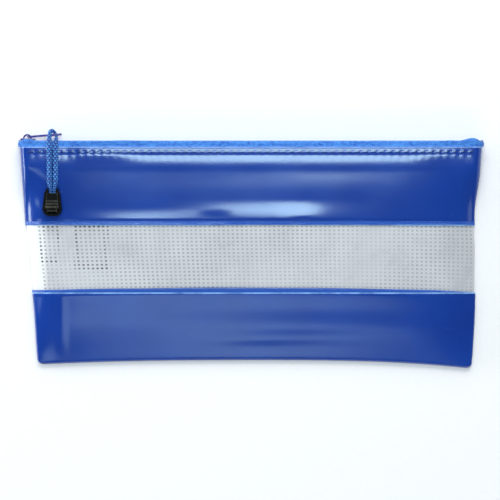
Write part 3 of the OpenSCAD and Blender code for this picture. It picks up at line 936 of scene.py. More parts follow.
@dataclass
class BagShape:
    """The closed, empty bag, worked out from the boxes of its CAD panels."""

    foot_y: float
    mouth_y: float
    window_low: float
    window_top: float
    lap: float
    mouth_half_w: float
    foot_half_w: float
    mouth_t: float
    drape: Drape
    vinyl_t: float = 0.8 * MM
    mesh_t: float = 0.6 * MM
    fold_t: float = 3.0 * MM
    level_run: float = 12.4 * MM
    curl_run: float = 10.4 * MM
    curl_r: float = 68 * MM
    swell: float = 2.2
    side_power: float = 14.0
    mouth_roll: float = 4.2 * MM
    corner_r: float = 4 * MM

    @classmethod
    def from_frame(cls) -> "BagShape":
        """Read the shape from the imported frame."""
        upper_low, upper_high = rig.box("front_upper_panel")
        lower_low, lower_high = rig.box("lower_panel")
        mesh_low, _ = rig.box("front_mesh_window")
        slope = (upper_high.x - lower_high.x) / (upper_high.y - lower_high.y)
        foot_half = lower_high.x - slope * (lower_high.y - lower_low.y)
        drape = Drape(foot_half, lower_low.y + 2 * MM, upper_high.y - 12 * MM)
        return cls(
            foot_y=lower_low.y, mouth_y=upper_high.y, window_low=lower_high.y, window_top=upper_low.y,
            lap=lower_high.y - mesh_low.y, mouth_half_w=upper_high.x, foot_half_w=foot_half,
            mouth_t=upper_high.z, drape=drape,
        )

    def half_w(self, y: float) -> float:
        """Give half the width of the bag at height y."""
        return mix(self.foot_half_w, self.mouth_half_w, (y - self.foot_y) / (self.mouth_y - self.foot_y))

    def curl(self, y: float) -> float:
        """Give how far the mouth's lip curls in at height y."""
        reach = max(0.0, y - (self.mouth_y - self.curl_run))
        return self.curl_r - math.sqrt(self.curl_r ** 2 - reach ** 2)

    def middle_z(self, y: float) -> float:
        """Give the height of the front face along the middle of the bag."""
        start = self.foot_y + self.fold_t / 2
        share = clamp((y - start) / (self.mouth_y - self.level_run - start))
        return mix(self.fold_t, self.mouth_t, 1 - (1 - share) ** self.swell) - self.curl(y)

    def openness(self, y: float) -> float:
        """Give 0 where the sides are closed flat and 1 at the mouth, where the zipper holds them apart."""
        return smooth(y, self.mouth_y - 40 * MM, self.mouth_y - 10 * MM)

    def belly(self, x: float, up: float) -> float:
        """Give the swell above the window: full in the middle, less at the left flank, with two dents."""
        full = 0.68 * hump(x, 10 * MM, 86 * MM) + 0.28 * hump(x, 30 * MM, 22 * MM)
        flank = hump(x, -70 * MM, 62 * MM)
        swell = full * (0.95 * MM * smooth(up, 50 * MM, 84 * MM) - 1.2 * MM * smooth(up, 85 * MM, 99 * MM))
        swell += flank * (0.45 * MM * smooth(up, 48 * MM, 78 * MM) - 0.78 * MM * smooth(up, 81 * MM, 94 * MM))
        dents = hump(x, -22 * MM, 14 * MM) * hump(up, 87.5 * MM, 5.5 * MM)
        dents += hump(x, 31 * MM, 11 * MM) * hump(up, 84.5 * MM, 4.5 * MM)
        return swell - 0.22 * MM * dents

    def lip(self, x: float, up: float) -> float:
        """Give the slight hollow below the mouth, and the lip that rises towards both ends of the zipper."""
        chest = -0.11 * MM * hump(x, 20 * MM, 110 * MM) * smooth(up, 103.5 * MM, 115 * MM)
        neck = 0.12 * MM * smooth(up, 115 * MM, 120 * MM)
        left_end = smooth(-x, 60 * MM, 92 * MM) * (1 - 0.8 * hump(x, -113 * MM, 14 * MM))
        right_end = smooth(x, 92 * MM, 120 * MM)
        return chest + neck + 0.54 * MM * (left_end + right_end) * smooth(up, 119 * MM, 128 * MM)

    def side_creases(self, x: float, up: float) -> float:
        """Give the upright crease low at the left side and the one beside the window at the right."""
        right_x = (130.5 - 0.02 * (up / MM - 100)) * MM
        left = 0.32 * MM * hump(x, -117 * MM, 5 * MM) * (1 - smooth(up, 38 * MM, 50 * MM))
        right = 0.40 * MM * hump(x, right_x, 8 * MM) * smooth(up, 75 * MM, 84 * MM)
        return (left + right) * (1 - smooth(up, 112 * MM, 119 * MM))

    def lower_folds(self, x: float, up: float, u: float) -> float:
        """Give the long swale of the lower band and the ridge just above the bottom fold."""
        swale = -0.22 * MM * hump(up, 31 * MM, 11 * MM) * (0.7 + 0.3 * math.sin(3 * u + 1))
        ridge = 0.24 * MM * hump(up, 13 * MM + 2 * MM * u, 7 * MM) * hump(x, 15 * MM, 75 * MM)
        return swale + ridge

    def rolls(self, x: float, y: float) -> float:
        """Give the height of the shallow rolls and dents of the vinyl.

        Args:
            x: Place across the bag.
            y: Height up the face.

        Returns:
            The height above the plain swollen face.
        """
        up = y - self.foot_y
        u = x / self.half_w(y)
        inner = (1 - abs(u) ** 8) * smooth(up, 2 * MM, 14 * MM)
        loose = 1 - smooth(up, 108 * MM, 120 * MM)
        wander = 0.09 * MM * noise.noise(Vector((x * 14, y * 24, 3.7)))
        folds = self.belly(x, up) + self.lip(x, up) + self.side_creases(x, up) + self.lower_folds(x, up, u)
        return inner * (folds + loose * (wander + self.drape.relief(x, y)))

    def sway(self, point: Vector) -> Vector:
        """Shift a point the way the limp bag lies, a little askew below the mouth.

        Args:
            point: The point on the straight bag.

        Returns:
            The shifted point.
        """
        up = point.y - self.foot_y
        x = point.x / self.foot_half_w
        bow = 1.2 * MM * (1 - x * x) - 1.5 * MM * max(0.0, -x) ** 3 - 4.0 * MM * max(0.0, x) ** 3.2
        bow *= 1 - smooth(up, 0, 95 * MM)
        past = clamp(abs(point.x) - (self.foot_half_w - self.corner_r), 0.0, self.corner_r)
        # A little under the full quarter circle, so that the corner never turns square to the fold.
        corner = self.corner_r - math.sqrt(self.corner_r ** 2 - past ** 2 * 0.98)
        corner *= 1 - smooth(up, 0, 9 * MM)
        lean = 2.2 * MM * (1 - smooth(up, 25 * MM, 88 * MM))
        waist = -1.3 * MM * max(0.0, x) ** 5 * hump(up, 92 * MM, 24 * MM)
        return point + Vector((lean + waist, bow + corner, 0))

    def roll_w(self, y: float) -> float:
        """Give how far in from the side edge the skin starts to roll round it."""
        return mix(self.fold_t / 2, self.mouth_roll, self.openness(y))

    def flat_x(self, u: float, y: float) -> float:
        """Give x of a place on the face, leaving out what rolls round the side edge."""
        return math.copysign(min(abs(u), 1.0), u) * (self.half_w(y) - self.roll_w(y))

    def rolled_edge(self, u: float, y: float, depth: float) -> tuple[float, float]:
        """Give x of a place on the face, and how far the skin has dipped there as it rolls round the edge."""
        roll_h = mix(self.fold_t / 2, self.mouth_t / 2 - self.curl(y), self.openness(y))
        angle = math.radians(90) * max(0.0, abs(u) - 1.0)
        out = (self.roll_w(y) - depth) * math.sin(angle)
        return self.flat_x(u, y) + math.copysign(out, u), (roll_h - depth) * (1 - math.cos(angle))

    def front(self, u: float, y: float, depth: float) -> Vector:
        """Give a point of the front face.

        Args:
            u: Place across the face: 1 at the side edge, up to 2 as the skin rolls round it to the seam.
            y: Height up the face.
            depth: Distance below the outer skin.

        Returns:
            The point.
        """
        x, dip = self.rolled_edge(u, y, depth)
        top = self.middle_z(y)
        shoulder = mix(self.fold_t, top, self.openness(y))
        z = mix(shoulder, top, 1 - min(abs(u), 1.0) ** self.side_power)
        z += self.rolls(self.flat_x(u, y), y)
        return self.sway(Vector((x, y, z - depth - dip)))

    def back(self, u: float, y: float, depth: float) -> Vector:
        """Give a point of the back face, flat where the bag rests and rolled up at its edges.

        Args:
            u: Place across the face, as for front().
            y: Height up the face.
            depth: Distance inside the outer skin.

        Returns:
            The point.
        """
        x, dip = self.rolled_edge(u, y, depth)
        return self.sway(Vector((x, y, self.curl(y) + depth + dip)))

    def across(self, s: float, rolled: float = 0.04) -> float:
        """Turn 0 to 1 across a sheet into u, giving the rolled edges a share of the columns."""
        t = 2 * s - 1
        size = abs(t)
        inner = 1 - rolled
        u = size / inner if size < inner else 1 + (size - inner) / rolled
        return math.copysign(u, t)


# ---- Vinyl panels ----


@dataclass
class VinylPanels:
    """The blue bands: one above each window, and one sheet round the bottom."""

    shape: BagShape
    finishes: Finishes
    columns: int = 232
    stitch_pitch: float = 4.93 * MM
    stitch_drop: float = 3.12 * MM
    weld_w: float = 2.6 * MM
    front_rows: int = 52
    back_rows: int = 40
    lower_rows: int = 104

    def weld_step(self, inwards: float) -> float:
        """Give the dent of a weld strip at a distance inwards from a band's free edge."""
        pressed = 0.16 * MM * hump(inwards, self.weld_w * 0.62, self.weld_w * 0.55)
        line = 0.14 * MM * hump(inwards, self.weld_w, 0.9 * MM)
        return -(pressed + line)

    def stitch_dent(self, x: float, y: float) -> float:
        """Give the dent of the mouth seam: a line of pulled-in needle holes."""
        row = self.shape.mouth_y - self.stitch_drop
        from_stitch = abs(((x / self.stitch_pitch + 0.5) % 1.0) - 0.5) * 2
        hole = smooth(from_stitch, 0.45, 1.0)
        line = hump(y, row, 1.7 * MM)
        pull = hump(y, row - 2.2 * MM, 3.6 * MM) * hole * 0.09 * MM
        return -(0.16 * MM + 0.22 * MM * hole) * line - pull

    def edge_wave(self, x: float, reach: float, phase: float) -> float:
        """Give the slight waviness of a band's cut edge."""
        return reach * (math.sin(x * 38 + phase) + 0.5 * math.sin(x * 91 + 2 * phase))

    def upper_front(self) -> bpy.types.Object:
        """Model the front band between the mouth and the window."""
        shape = self.shape

        def place(s: float, t: float) -> Vector:
            """Give the outer skin's point at s across the band and t along it."""
            u = shape.across(s)
            y = mix(shape.window_top, shape.mouth_y, t)
            point = shape.front(u, y, 0.0)
            drop = self.stitch_dent(point.x, y) * (1 if abs(u) < 1 else 0)
            point.z += drop + self.weld_step(y - shape.window_top)
            point.y += self.edge_wave(point.x, 0.12 * MM, 0.6) * (1 - t)
            return point

        return self.band("upper_band_front", self.front_rows, place, shape.mouth_y - shape.window_top)

    def upper_back(self) -> bpy.types.Object:
        """Model the back band between the mouth and the window."""
        shape = self.shape

        def place(s: float, t: float) -> Vector:
            """Give the outer skin's point at s across the band and t along it."""
            u = shape.across(1 - s)
            y = mix(shape.window_top, shape.mouth_y, t)
            point = shape.back(u, y, 0.0)
            point.z -= self.stitch_dent(point.x, y) * (1 if abs(u) < 1 else 0)
            point.z -= self.weld_step(y - shape.window_top)
            return point

        return self.band("upper_band_back", self.back_rows, place, shape.mouth_y - shape.window_top)

    def lower(self) -> bpy.types.Object:
        """Model the sheet that runs down the front, round the bottom fold and up the back."""
        shape = self.shape
        fold = shape.fold_t / 2
        run = shape.window_low - shape.foot_y - fold
        turn = math.pi * fold
        total = 2 * run + turn

        def place(s: float, t: float) -> Vector:
            """Give the outer skin's point at s across the band and t along it."""
            u = shape.across(s)
            gone = t * total
            if gone <= run:
                y = shape.window_low - gone
                point = shape.front(u, y, 0.0)
                point.z += self.weld_step(gone)
                point.y += self.edge_wave(point.x, 0.16 * MM, 2.0) * (1 - smooth(gone, 0, 9 * MM))
                return point
            if gone >= run + turn:
                point = shape.back(u, shape.foot_y + fold + (gone - run - turn), 0.0)
                point.z -= self.weld_step(total - gone)
                return point
            angle = (gone - run) / fold
            point = shape.front(u, shape.foot_y + fold, 0.0)
            squash = (point.z - fold) / fold
            return Vector((point.x, point.y - fold * math.sin(angle), fold + fold * squash * math.cos(angle)))

        return self.band("lower_band", self.lower_rows, place, total)

    def band(self, name: str, rows: int, place: Place, length: float) -> bpy.types.Object:
        """Model one band from the rule for its outer skin.

        Args:
            name: Name of the piece.
            rows: Number of faces along the band's height.
            place: Gives the outer skin's point for (across, along).
            length: The band's cut height.

        Returns:
            The band, with its thickness.
        """
        bm = bmesh.new()
        add_grid(bm, self.columns, rows, place, (2 * self.shape.mouth_half_w, length))
        made = new_object(name, bm, [self.finishes.vinyl])
        face_out(made, self.shape)
        thicken(made, self.shape.vinyl_t)
        return made

    def build(self) -> list[bpy.types.Object]:
        """Model the three bands and put them on the bag."""
        shape = self.shape
        width = 2 * shape.mouth_half_w
        height = shape.mouth_y - shape.window_top
        around = 2 * (shape.window_low - shape.foot_y)
        pieces = []
        for piece, node, flat, held in (
            (self.upper_front(), "front_upper_panel", (width, height), "laid"),
            (self.upper_back(), "back_upper_panel", (width, height), "laid"),
            (self.lower(), "lower_panel", (2 * shape.half_w(shape.window_low), around), "folded"),
        ):
            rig.ride(piece, "bag")
            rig.replaces(piece, node)
            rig.slot(piece, "vinyl")
            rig.sheet(piece, flat=flat, held=held)
            pieces.append(piece)
        return pieces


def face_out(piece: bpy.types.Object, shape: BagShape) -> None:
    """Turn a sheet's faces away from the inside of the bag, if they point in.

    Args:
        piece: The open sheet.
        shape: The bag, whose middle height tells inside from outside.
    """
    votes = 0.0
    for polygon in piece.data.polygons:
        middle = Vector((0.0, polygon.center.y, shape.middle_z(polygon.center.y) / 2))
        away = polygon.center - middle
        # The bag is far wider than it is thick, so the sides' votes are made to weigh less.
        away.x *= 0.02
        votes += polygon.normal.dot(away)
    if votes < 0:
        piece.data.flip_normals()


# ---- Mesh windows ----


@dataclass
class MeshWindows:
    """Clear vinyl on a white scrim: yarns in both directions with film in the holes."""

    shape: BagShape
    finishes: Finishes
    pitch_x: float = 2.72 * MM
    pitch_y: float = 2.26 * MM
    hole_x: float = 0.42
    hole_y: float = 0.40
    plain_left: int = 3
    plain_right: int = 1
    rolled: float = 0.02

    def build_one(self, face: Face) -> bpy.types.Object:
        """Model one window.

        Args:
            face: Which face of the bag it is in.

        Returns:
            The window.
        """
        shape = self.shape
        low, high = shape.window_low - shape.lap, shape.window_top + shape.lap
        cells_x = round(2 * shape.half_w(shape.window_low) / self.pitch_x)
        cells_y = round((high - low) / self.pitch_y)
        depth = shape.vinyl_t
        reach_x, reach_y = self.hole_x / 2, self.hole_y / 2

        def stretch(value: float, cells: int, reach: float) -> float:
            """Move an even grid line to the near or far side of its hole."""
            cell, part = divmod(value * cells * 2 + 1e-6, 2)
            inside = 0.5 + reach if part >= 1 else 0.5 - reach
            return clamp((cell + inside) / cells)

        def place(s: float, t: float) -> Vector:
            """Give the point of the mesh at s across the window and t up it."""
            u = shape.across(stretch(s, cells_x, reach_x), self.rolled)
            y = mix(low, high, stretch(t, cells_y, reach_y))
            if face is Face.FRONT:
                return shape.front(u, y, depth)
            return shape.back(-u, y, depth)

        bm = bmesh.new()
        wide = 2 * cells_x - 1
        add_grid(bm, wide, 2 * cells_y - 1, place, (2 * shape.mouth_half_w, high - low))
        first, last = 2 * self.plain_left, wide - 2 * self.plain_right
        if face is Face.BACK:
            first, last = wide - last, wide - first
        for face_number, quad in enumerate(bm.faces):
            column, row = face_number % wide, face_number // wide
            if column % 2 == 0 and row % 2 == 0 and first <= column < last:
                quad.material_index = 1
        made = new_object(f"window_{face.name.lower()}", bm, [self.finishes.scrim, self.finishes.film])
        face_out(made, shape)
        return made

    def build(self) -> list[bpy.types.Object]:
        """Model both windows and put them on the bag."""
        shape = self.shape
        width = 2 * shape.half_w(shape.window_top)
        height = shape.window_top - shape.window_low + 2 * shape.lap
        pieces = []
        for face in Face:
            piece = self.build_one(face)
            refine(piece)
            thicken(piece, shape.mesh_t * 0.7)
            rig.ride(piece, "bag")
            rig.replaces(piece, f"{face.name.lower()}_mesh_window")
            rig.slot(piece, "mesh_vinyl")
            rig.sheet(piece, held="laid", flat=(width, height))
            pieces.append(piece)
        return pieces


# ---- Zipper ----


@dataclass
class ZipperTapes:
    """The two tapes: a flange inside each lip, a roll over the mouth, and a flat run to the coils."""

    shape: BagShape
    finishes: Finishes
    columns: int = 236
    flange: float = 8.4 * MM
    skin: float = 0.25 * MM
    roll_r: float = 1.5 * MM
    flare: float = 2.1 * MM
    side_rows: int = 7
    roll_rows: int = 8
    flat_rows: int = 4
    rolled: float = 0.09
    over_lip: float = 7 * MM
    turned_end: float = 3 * MM
    coil_stop: float = 1.9 * MM

    def puff(self, x: float) -> float:
        """Give how far the roll swells above the flat run at x, as it does where the tape is gathered."""
        right = 2.3 * MM * hump(x, 134 * MM, 9 * MM) + 0.9 * MM * hump(x, 121 * MM, 13 * MM)
        left = 1.5 * MM * hump(x, -136 * MM, 10 * MM) + 0.75 * MM * hump(x, -80 * MM, 40 * MM)
        return right + left + 0.25 * MM * noise.noise(Vector((x * 60, 0.3, 7.1)))

    def build_one(self, face: Face) -> bpy.types.Object:
        """Model the tape of one face.

        Args:
            face: The face of the bag that it is sewn to.

        Returns:
            The tape.
        """
        shape = self.shape
        node = f"{face.name.lower()}_zipper_tape"
        top_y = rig.box(node)[1].y - self.skin
        coil_low, coil_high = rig.box("front_coil")
        middle = shape.mouth_t / 2
        inner = coil_low.z - middle
        chain_end = coil_high.x - self.coil_stop
        rows = self.side_rows + self.roll_rows + self.flat_rows

        def place(s: float, t: float) -> Vector:
            """Give the tape's point at s along the zipper and t from its sewn edge to the coil."""
            u = shape.across(s, self.rolled)
            row = round(t * rows)
            low = shape.mouth_y - self.flange
            base = shape.front(u, shape.mouth_y, shape.vinyl_t + self.skin)
            base.z -= shape.rolls(base.x, shape.mouth_y)
            out = smooth(abs(u), 1.0, 1.75)
            flared = base.x + math.copysign(self.flare * out, base.x)
            goal = Vector((clamp(flared, -chain_end, chain_end), top_y, middle + min(inner, base.z - middle)))
            run = Vector((goal.x - flared, 0, goal.z - base.z))
            radius = min(self.roll_r, run.length * 0.8)
            aim = run.normalized() if run.length > 1e-6 else Vector((0, 0, -1))
            if row < self.side_rows:
                share = row / (self.side_rows - 1)
                y = mix(low, top_y - radius, share ** 0.8)
                if y < shape.mouth_y:
                    point = shape.front(u, y, shape.vinyl_t + self.skin)
                    point.z -= shape.rolls(point.x, y)
                else:
                    point = base.copy()
                    point.y = y
                    flaring = smooth(y - shape.mouth_y, -0.2 * MM, 0.8 * MM)
                    point.x = mix(base.x, flared, flaring)
            elif row < self.side_rows + self.roll_rows:
                angle = math.radians(90) * (row - self.side_rows + 1) / self.roll_rows
                point = Vector((flared, top_y - radius, base.z)) + aim * radius * (1 - math.cos(angle))
                point.y += radius * math.sin(angle)
                swell = self.puff(flared) * smooth(angle, 0, 0.45) * (1 - smooth(angle, 0.5, 1.1)) * (1 - out)
                point.y += swell
                point.z += 0.45 * swell
            else:
                share = (row - self.side_rows - self.roll_rows + 1) / (self.flat_rows + 1)
                start = Vector((flared, top_y, base.z)) + aim * radius
                point = start.lerp(goal, share)
            if face is Face.BACK:
                point.z = 2 * middle - point.z
            return point

        bm = bmesh.new()
        width = self.flange + self.over_lip
        add_grid(bm, self.columns, rows, place, (2 * shape.mouth_half_w, width))
        made = new_object(node.replace("_zipper", ""), bm, [self.finishes.tape])
        face_out(made, shape)
        thicken(made, 2 * self.skin)
        made.modifiers["wall"].offset = 0
        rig.ride(made, "bag")
        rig.replaces(made, node)
        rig.slot(made, "zipper_tape")
        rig.sheet(made, flat=(2 * (shape.mouth_half_w + self.turned_end), width), held="folded")
        return made

    def build(self) -> list[bpy.types.Object]:
        """Model both tapes."""
        return [self.build_one(face) for face in Face]


@dataclass
class CoilChain:
    """The zipper's two coils, each one filament wound into a long flattened spiral."""

    finishes: Finishes
    pitch: float = 1.27 * MM
    wire_r: float = 0.27 * MM
    steps: int = 10
    sides: int = 5

    def build_one(self, face: Face) -> bpy.types.Object:
        """Wind the coil of one face."""
        node = f"{face.name.lower()}_coil"
        low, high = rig.box(node)
        centre = (low + high) / 2
        rise = (high.y - low.y) / 2 - self.wire_r
        reach = (high.z - low.z) / 2 - self.wire_r
        turns = int((high.x - low.x) / self.pitch)
        line = [
            Vector((
                low.x + self.wire_r + self.pitch * k / self.steps,
                centre.y + rise * math.sin(math.tau * k / self.steps),
                centre.z + face.value * reach * math.cos(math.tau * k / self.steps),
            ))
            for k in range(turns * self.steps)
        ]
        bm = bmesh.new()
        add_tube(bm, line, [self.wire_r] * len(line), self.sides)
        cap_ends(bm)
        made = new_object(f"{node}_winding", bm, [self.finishes.nylon])
        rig.ride(made, "bag")
        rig.replaces(made, node)
        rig.slot(made, "coil_nylon")
        return made

    def build(self) -> list[bpy.types.Object]:
        """Wind both coils."""
        return [self.build_one(face) for face in Face]


# ---- Seams ----


@dataclass
class MouthSeams:
    """The top-stitching of the two mouth edges: every stitch is a short thread that dives at both ends."""

    shape: BagShape
    panels: VinylPanels
    finishes: Finishes
    thread_r: float = 0.2 * MM
    stitch_l: float = 3.9 * MM
    sunk: float = 0.12 * MM
    dive: float = 0.75 * MM
    slant: float = 0.12 * MM
    end_gap: float = 6 * MM
    steps: int = 8
    sides: int = 6

    def stitch(self, bm: bmesh.types.BMesh, face: Face, x: float) -> None:
        """Add one stitch.

        Args:
            bm: The mesh that it joins.
            face: The face of the bag that it is on.
            x: Its middle.
        """
        shape = self.shape
        y = shape.mouth_y - self.panels.stitch_drop
        line = []
        for k in range(self.steps + 1):
            t = 2 * k / self.steps - 1
            at = x + t * self.stitch_l / 2
            u = at / (shape.half_w(y) - shape.mouth_roll)
            skin = shape.front(u, y, 0.0) if face is Face.FRONT else shape.back(u, y, 0.0)
            lift = self.thread_r * 0.9 - self.dive * smooth(abs(t), 0.55, 1.0) - self.sunk
            line.append(Vector((at, y + self.slant * t, skin.z + face.value * lift)))
        add_tube(bm, line, [self.thread_r] * len(line), self.sides)

    def build(self) -> list[bpy.types.Object]:
        """Model both seams."""
        made = []
        pitch = self.panels.stitch_pitch
        half = int((self.shape.mouth_half_w - self.end_gap) / pitch)
        for face in Face:
            bm = bmesh.new()
            for k in range(-half, half + 1):
                self.stitch(bm, face, k * pitch)
            cap_ends(bm)
            seam = new_object(f"mouth_seam_{face.name.lower()}", bm, [self.finishes.thread])
            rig.ride(seam, "bag")
            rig.replaces(seam, f"{face.name.lower()}_mouth_stitching")
            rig.slot(seam, "thread")
            made.append(seam)
        return made


# ---- Slider, tab and cord end ----


@dataclass
class HardPart:
    """A hard piece: the CAD shape with its edges rounded as a mould or die leaves them."""

    node: str
    body: str
    slot: str
    material: bpy.types.Material
    edge_material: bpy.types.Material
    round_r: float = 0.15 * MM
    round_steps: int = 2
    sharp: float = math.radians(28)

    def shape_mesh(self, bm: bmesh.types.BMesh) -> None:
        """Add to the merged CAD shape; the plain part is left as it is."""

    def build(self) -> bpy.types.Object:
        """Copy, merge, shape and round the piece."""
        bm = bmesh.new()
        bm.from_mesh(bpy.data.objects[self.node].data)
        bmesh.ops.remove_doubles(bm, verts=bm.verts[:], dist=2e-6)
        bmesh.ops.dissolve_limit(bm, angle_limit=math.radians(1), verts=bm.verts[:], edges=bm.edges[:])
        sharp_edges = [
            edge for edge in bm.edges if len(edge.link_faces) == 2 and edge.calc_face_angle() > self.sharp
        ]
        rounded = bmesh.ops.bevel(
            bm, geom=sharp_edges, offset=self.round_r, offset_type="OFFSET", affect="EDGES",
            segments=self.round_steps, profile=0.5, material=-1, clamp_overlap=True,
        )
        # The rounded faces take the edge material; on the cord end this is a painted highlight, with some rubbed wear.
        for face in rounded["faces"]:
            face.material_index = 1
        self.shape_mesh(bm)
        bmesh.ops.recalc_face_normals(bm, faces=bm.faces[:])
        made = new_object(f"{self.node}_finished", bm, [self.material, self.edge_material])
        made.modifiers.new("shading", "WEIGHTED_NORMAL").keep_sharp = True
        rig.ride(made, self.body)
        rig.replaces(made, self.node)
        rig.slot(made, self.slot)
        return made


@dataclass
class SliderBody(HardPart):
    """The slider, with a round crown in place of the plain bail."""

    crown_r: float = 0.52 * MM
    crown_half_l: float = 2.1 * MM
    crown_shift: float = -0.6 * MM
    crown_flat: float = 1.75
    crown_spread: float = 0.2 * MM
    bail_h: float = 2.72 * MM
    root: float = 0.3 * MM
    steps: int = 24
    sides: int = 12

    def crown_line(self, plate: float, rise: float, middle: Vector) -> list[Vector]:
        """Lay out the crown's arch.

        Args:
            plate: Y of the slider's top plate.
            rise: How far the arch's middle stands above it.
            middle: Middle of the slider's box.

        Returns:
            The arch's points, from foot to foot.
        """
        line = []
        for k in range(self.steps + 1):
            angle = math.pi * k / self.steps
            spread = self.crown_spread * (1 - math.sin(angle)) ** 2
            x = middle.x + self.crown_shift - math.cos(angle) * (self.crown_half_l + spread)
            y = plate - self.root + (rise + self.root) * math.sin(angle) ** 0.75
            line.append(Vector((x, y, middle.z)))
        return line

    def shape_mesh(self, bm: bmesh.types.BMesh) -> None:
        """Cut the plain bail off at the plate and add the crown."""
        low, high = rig.box(self.node)
        middle = (low + high) / 2
        plate = high.y - self.bail_h
        bmesh.ops.bisect_plane(
            bm, geom=bm.verts[:] + bm.edges[:] + bm.faces[:], dist=1e-7,
            plane_co=(0, plate + 0.02 * MM, 0), plane_no=(0, 1, 0), clear_outer=True,
        )
        cap_ends(bm)
        line = self.crown_line(plate, high.y - self.crown_r * 0.8 - plate, middle)
        arch = bmesh.new()
        add_tube(arch, line, [self.crown_r] * len(line), self.sides)
        about = Matrix.Translation((0, 0, -middle.z))
        bmesh.ops.scale(arch, vec=(1, 1, self.crown_flat), space=about, verts=arch.verts[:])
        cap_ends(arch)
        crown = bpy.data.meshes.new("crown")
        arch.to_mesh(crown)
        arch.free()
        bm.from_mesh(crown)
        bpy.data.meshes.remove(crown)


# ---- Cord ----


@dataclass
class PullCord:
    """The braided cord: a core, and yarns round it both ways, each over one and under the next."""

    finishes: Finishes
    yarns: int = 4
    lay: float = 11.0 * MM
    step: float = 0.36 * MM
    full_r: float = 1.80 * MM
    yarn_r: float = 0.58 * MM
    wander: float = 0.26 * MM
    core: float = 0.58
    core_sides: int = 10
    yarn_sides: int = 6
    # Route from the middle of the tab's rail, in millimetres, and the cord's radius there. It leaves the cord
    # end, climbs in front of the rail, turns over it, comes down through the eye and goes back down.
    route: tuple[tuple[float, float, float, float], ...] = (
        (-1.15, -39, 6.4, 1.10), (-1.15, -36, 6.4, 1.10), (-1.15, -32.5, 6.2, 1.10), (-1.6, -30, 5.8, 1.55),
        (-1.8, -27, 5.6, 1.80), (-1.8, -20, 5.5, 1.80), (-1.8, -13, 5.5, 1.80), (-1.8, -8, 5.5, 1.80),
        (-2, -5, 5.0, 1.75), (-2, -2.4, 3.8, 1.60), (-1.9, 0, 2.6, 1.40), (-1.5, 1.8, 1.8, 1.35),
        (-0.6, 2.5, 0, 1.35), (0.6, 1.7, -1.6, 1.20), (1.5, 0, -2.2, 1.00), (2, -1.5, -1.5, 1.00),
        (2, -2.1, 0, 1.00), (2, -2.2, 1.8, 1.00), (2, -2.9, 3.4, 1.40), (2, -4.8, 4.8, 1.75),
        (1.8, -8, 5.5, 1.80), (1.8, -13, 5.5, 1.80), (1.8, -20, 5.5, 1.80), (1.8, -27, 5.6, 1.80),
        (1.6, -30, 5.8, 1.55), (1.15, -32.5, 6.2, 1.10), (1.15, -36, 6.4, 1.10), (1.15, -39, 6.4, 1.10),
    )

    def centreline(self, frame: dict) -> tuple[list[Vector], list[float], list[float]]:
        """Smooth the route and space its points evenly.

        Args:
            frame: The loaded frame, whose cord joint lies in the tab's rail.

        Returns:
            The points, the cord's radius at each, and each one's distance along the cord.
        """
        lift = next(joint for joint in frame["joints"] if joint["name"] == "cord_lift")
        rail = Vector(lift["pos_m"])
        dense = [(rail + Vector(point[:3]) * MM, point[3] * MM) for point in spline(self.route, 24)]
        points, radii, along = [dense[0][0]], [dense[0][1]], [0.0]
        gone = 0.0
        for (here, r0), (there, r1) in zip(dense, dense[1:]):
            span = (there - here).length
            while gone + span >= along[-1] + self.step:
                share = (along[-1] + self.step - gone) / span
                points.append(here.lerp(there, share))
                radii.append(mix(r0, r1, share))
                along.append(along[-1] + self.step)
            gone += span
        return points, radii, along

    def build(self, frame: dict, fittings: Sequence[Union[str, bpy.types.Object]]) -> bpy.types.Object:
        """Braid the cord.

        Args:
            frame: The loaded frame.
            fittings: The pieces of the cord end that it runs into.

        Returns:
            The cord.
        """
        points, radii, along = self.centreline(frame)
        frames = across_line(points)
        bm = bmesh.new()
        add_tube(bm, points, [self.core * r for r in radii], self.core_sides)
        turn = math.tau / self.lay
        base = self.full_r - self.yarn_r - self.wander
        for way in (1, -1):
            for k in range(self.yarns):
                line, thick, crowns = [], [], []
                for point, r, gone, (side, up) in zip(points, radii, along, frames):
                    size = r / self.full_r
                    angle = math.tau * k / self.yarns + way * turn * gone
                    wave = way * math.cos(self.yarns * turn * gone)
                    out = (base + self.wander * wave) * size
                    line.append(point + out * (math.cos(angle) * side + math.sin(angle) * up))
                    thick.append(self.yarn_r * size)
                    # Painted highlight where the yarn lies out, painted shade where it dips under.
                    crowns.append(0.5 + 0.5 * wave)
                add_tube(bm, line, thick, self.yarn_sides, crowns)
        cap_ends(bm)
        made = new_object("pull_cord_braid", bm, [self.finishes.cord])
        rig.ride(made, "cord")
        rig.replaces(made, "pull_cord")
        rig.slot(made, "braided_cord")
        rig.cord(
            made, exit=points[0], length=along[-1], diameter=2 * self.full_r, far_end="fitting",
            stiffness="limp", lay="loose", path=points, with_pieces=tuple(fittings),
        )
        return made


# ---- Studio ----


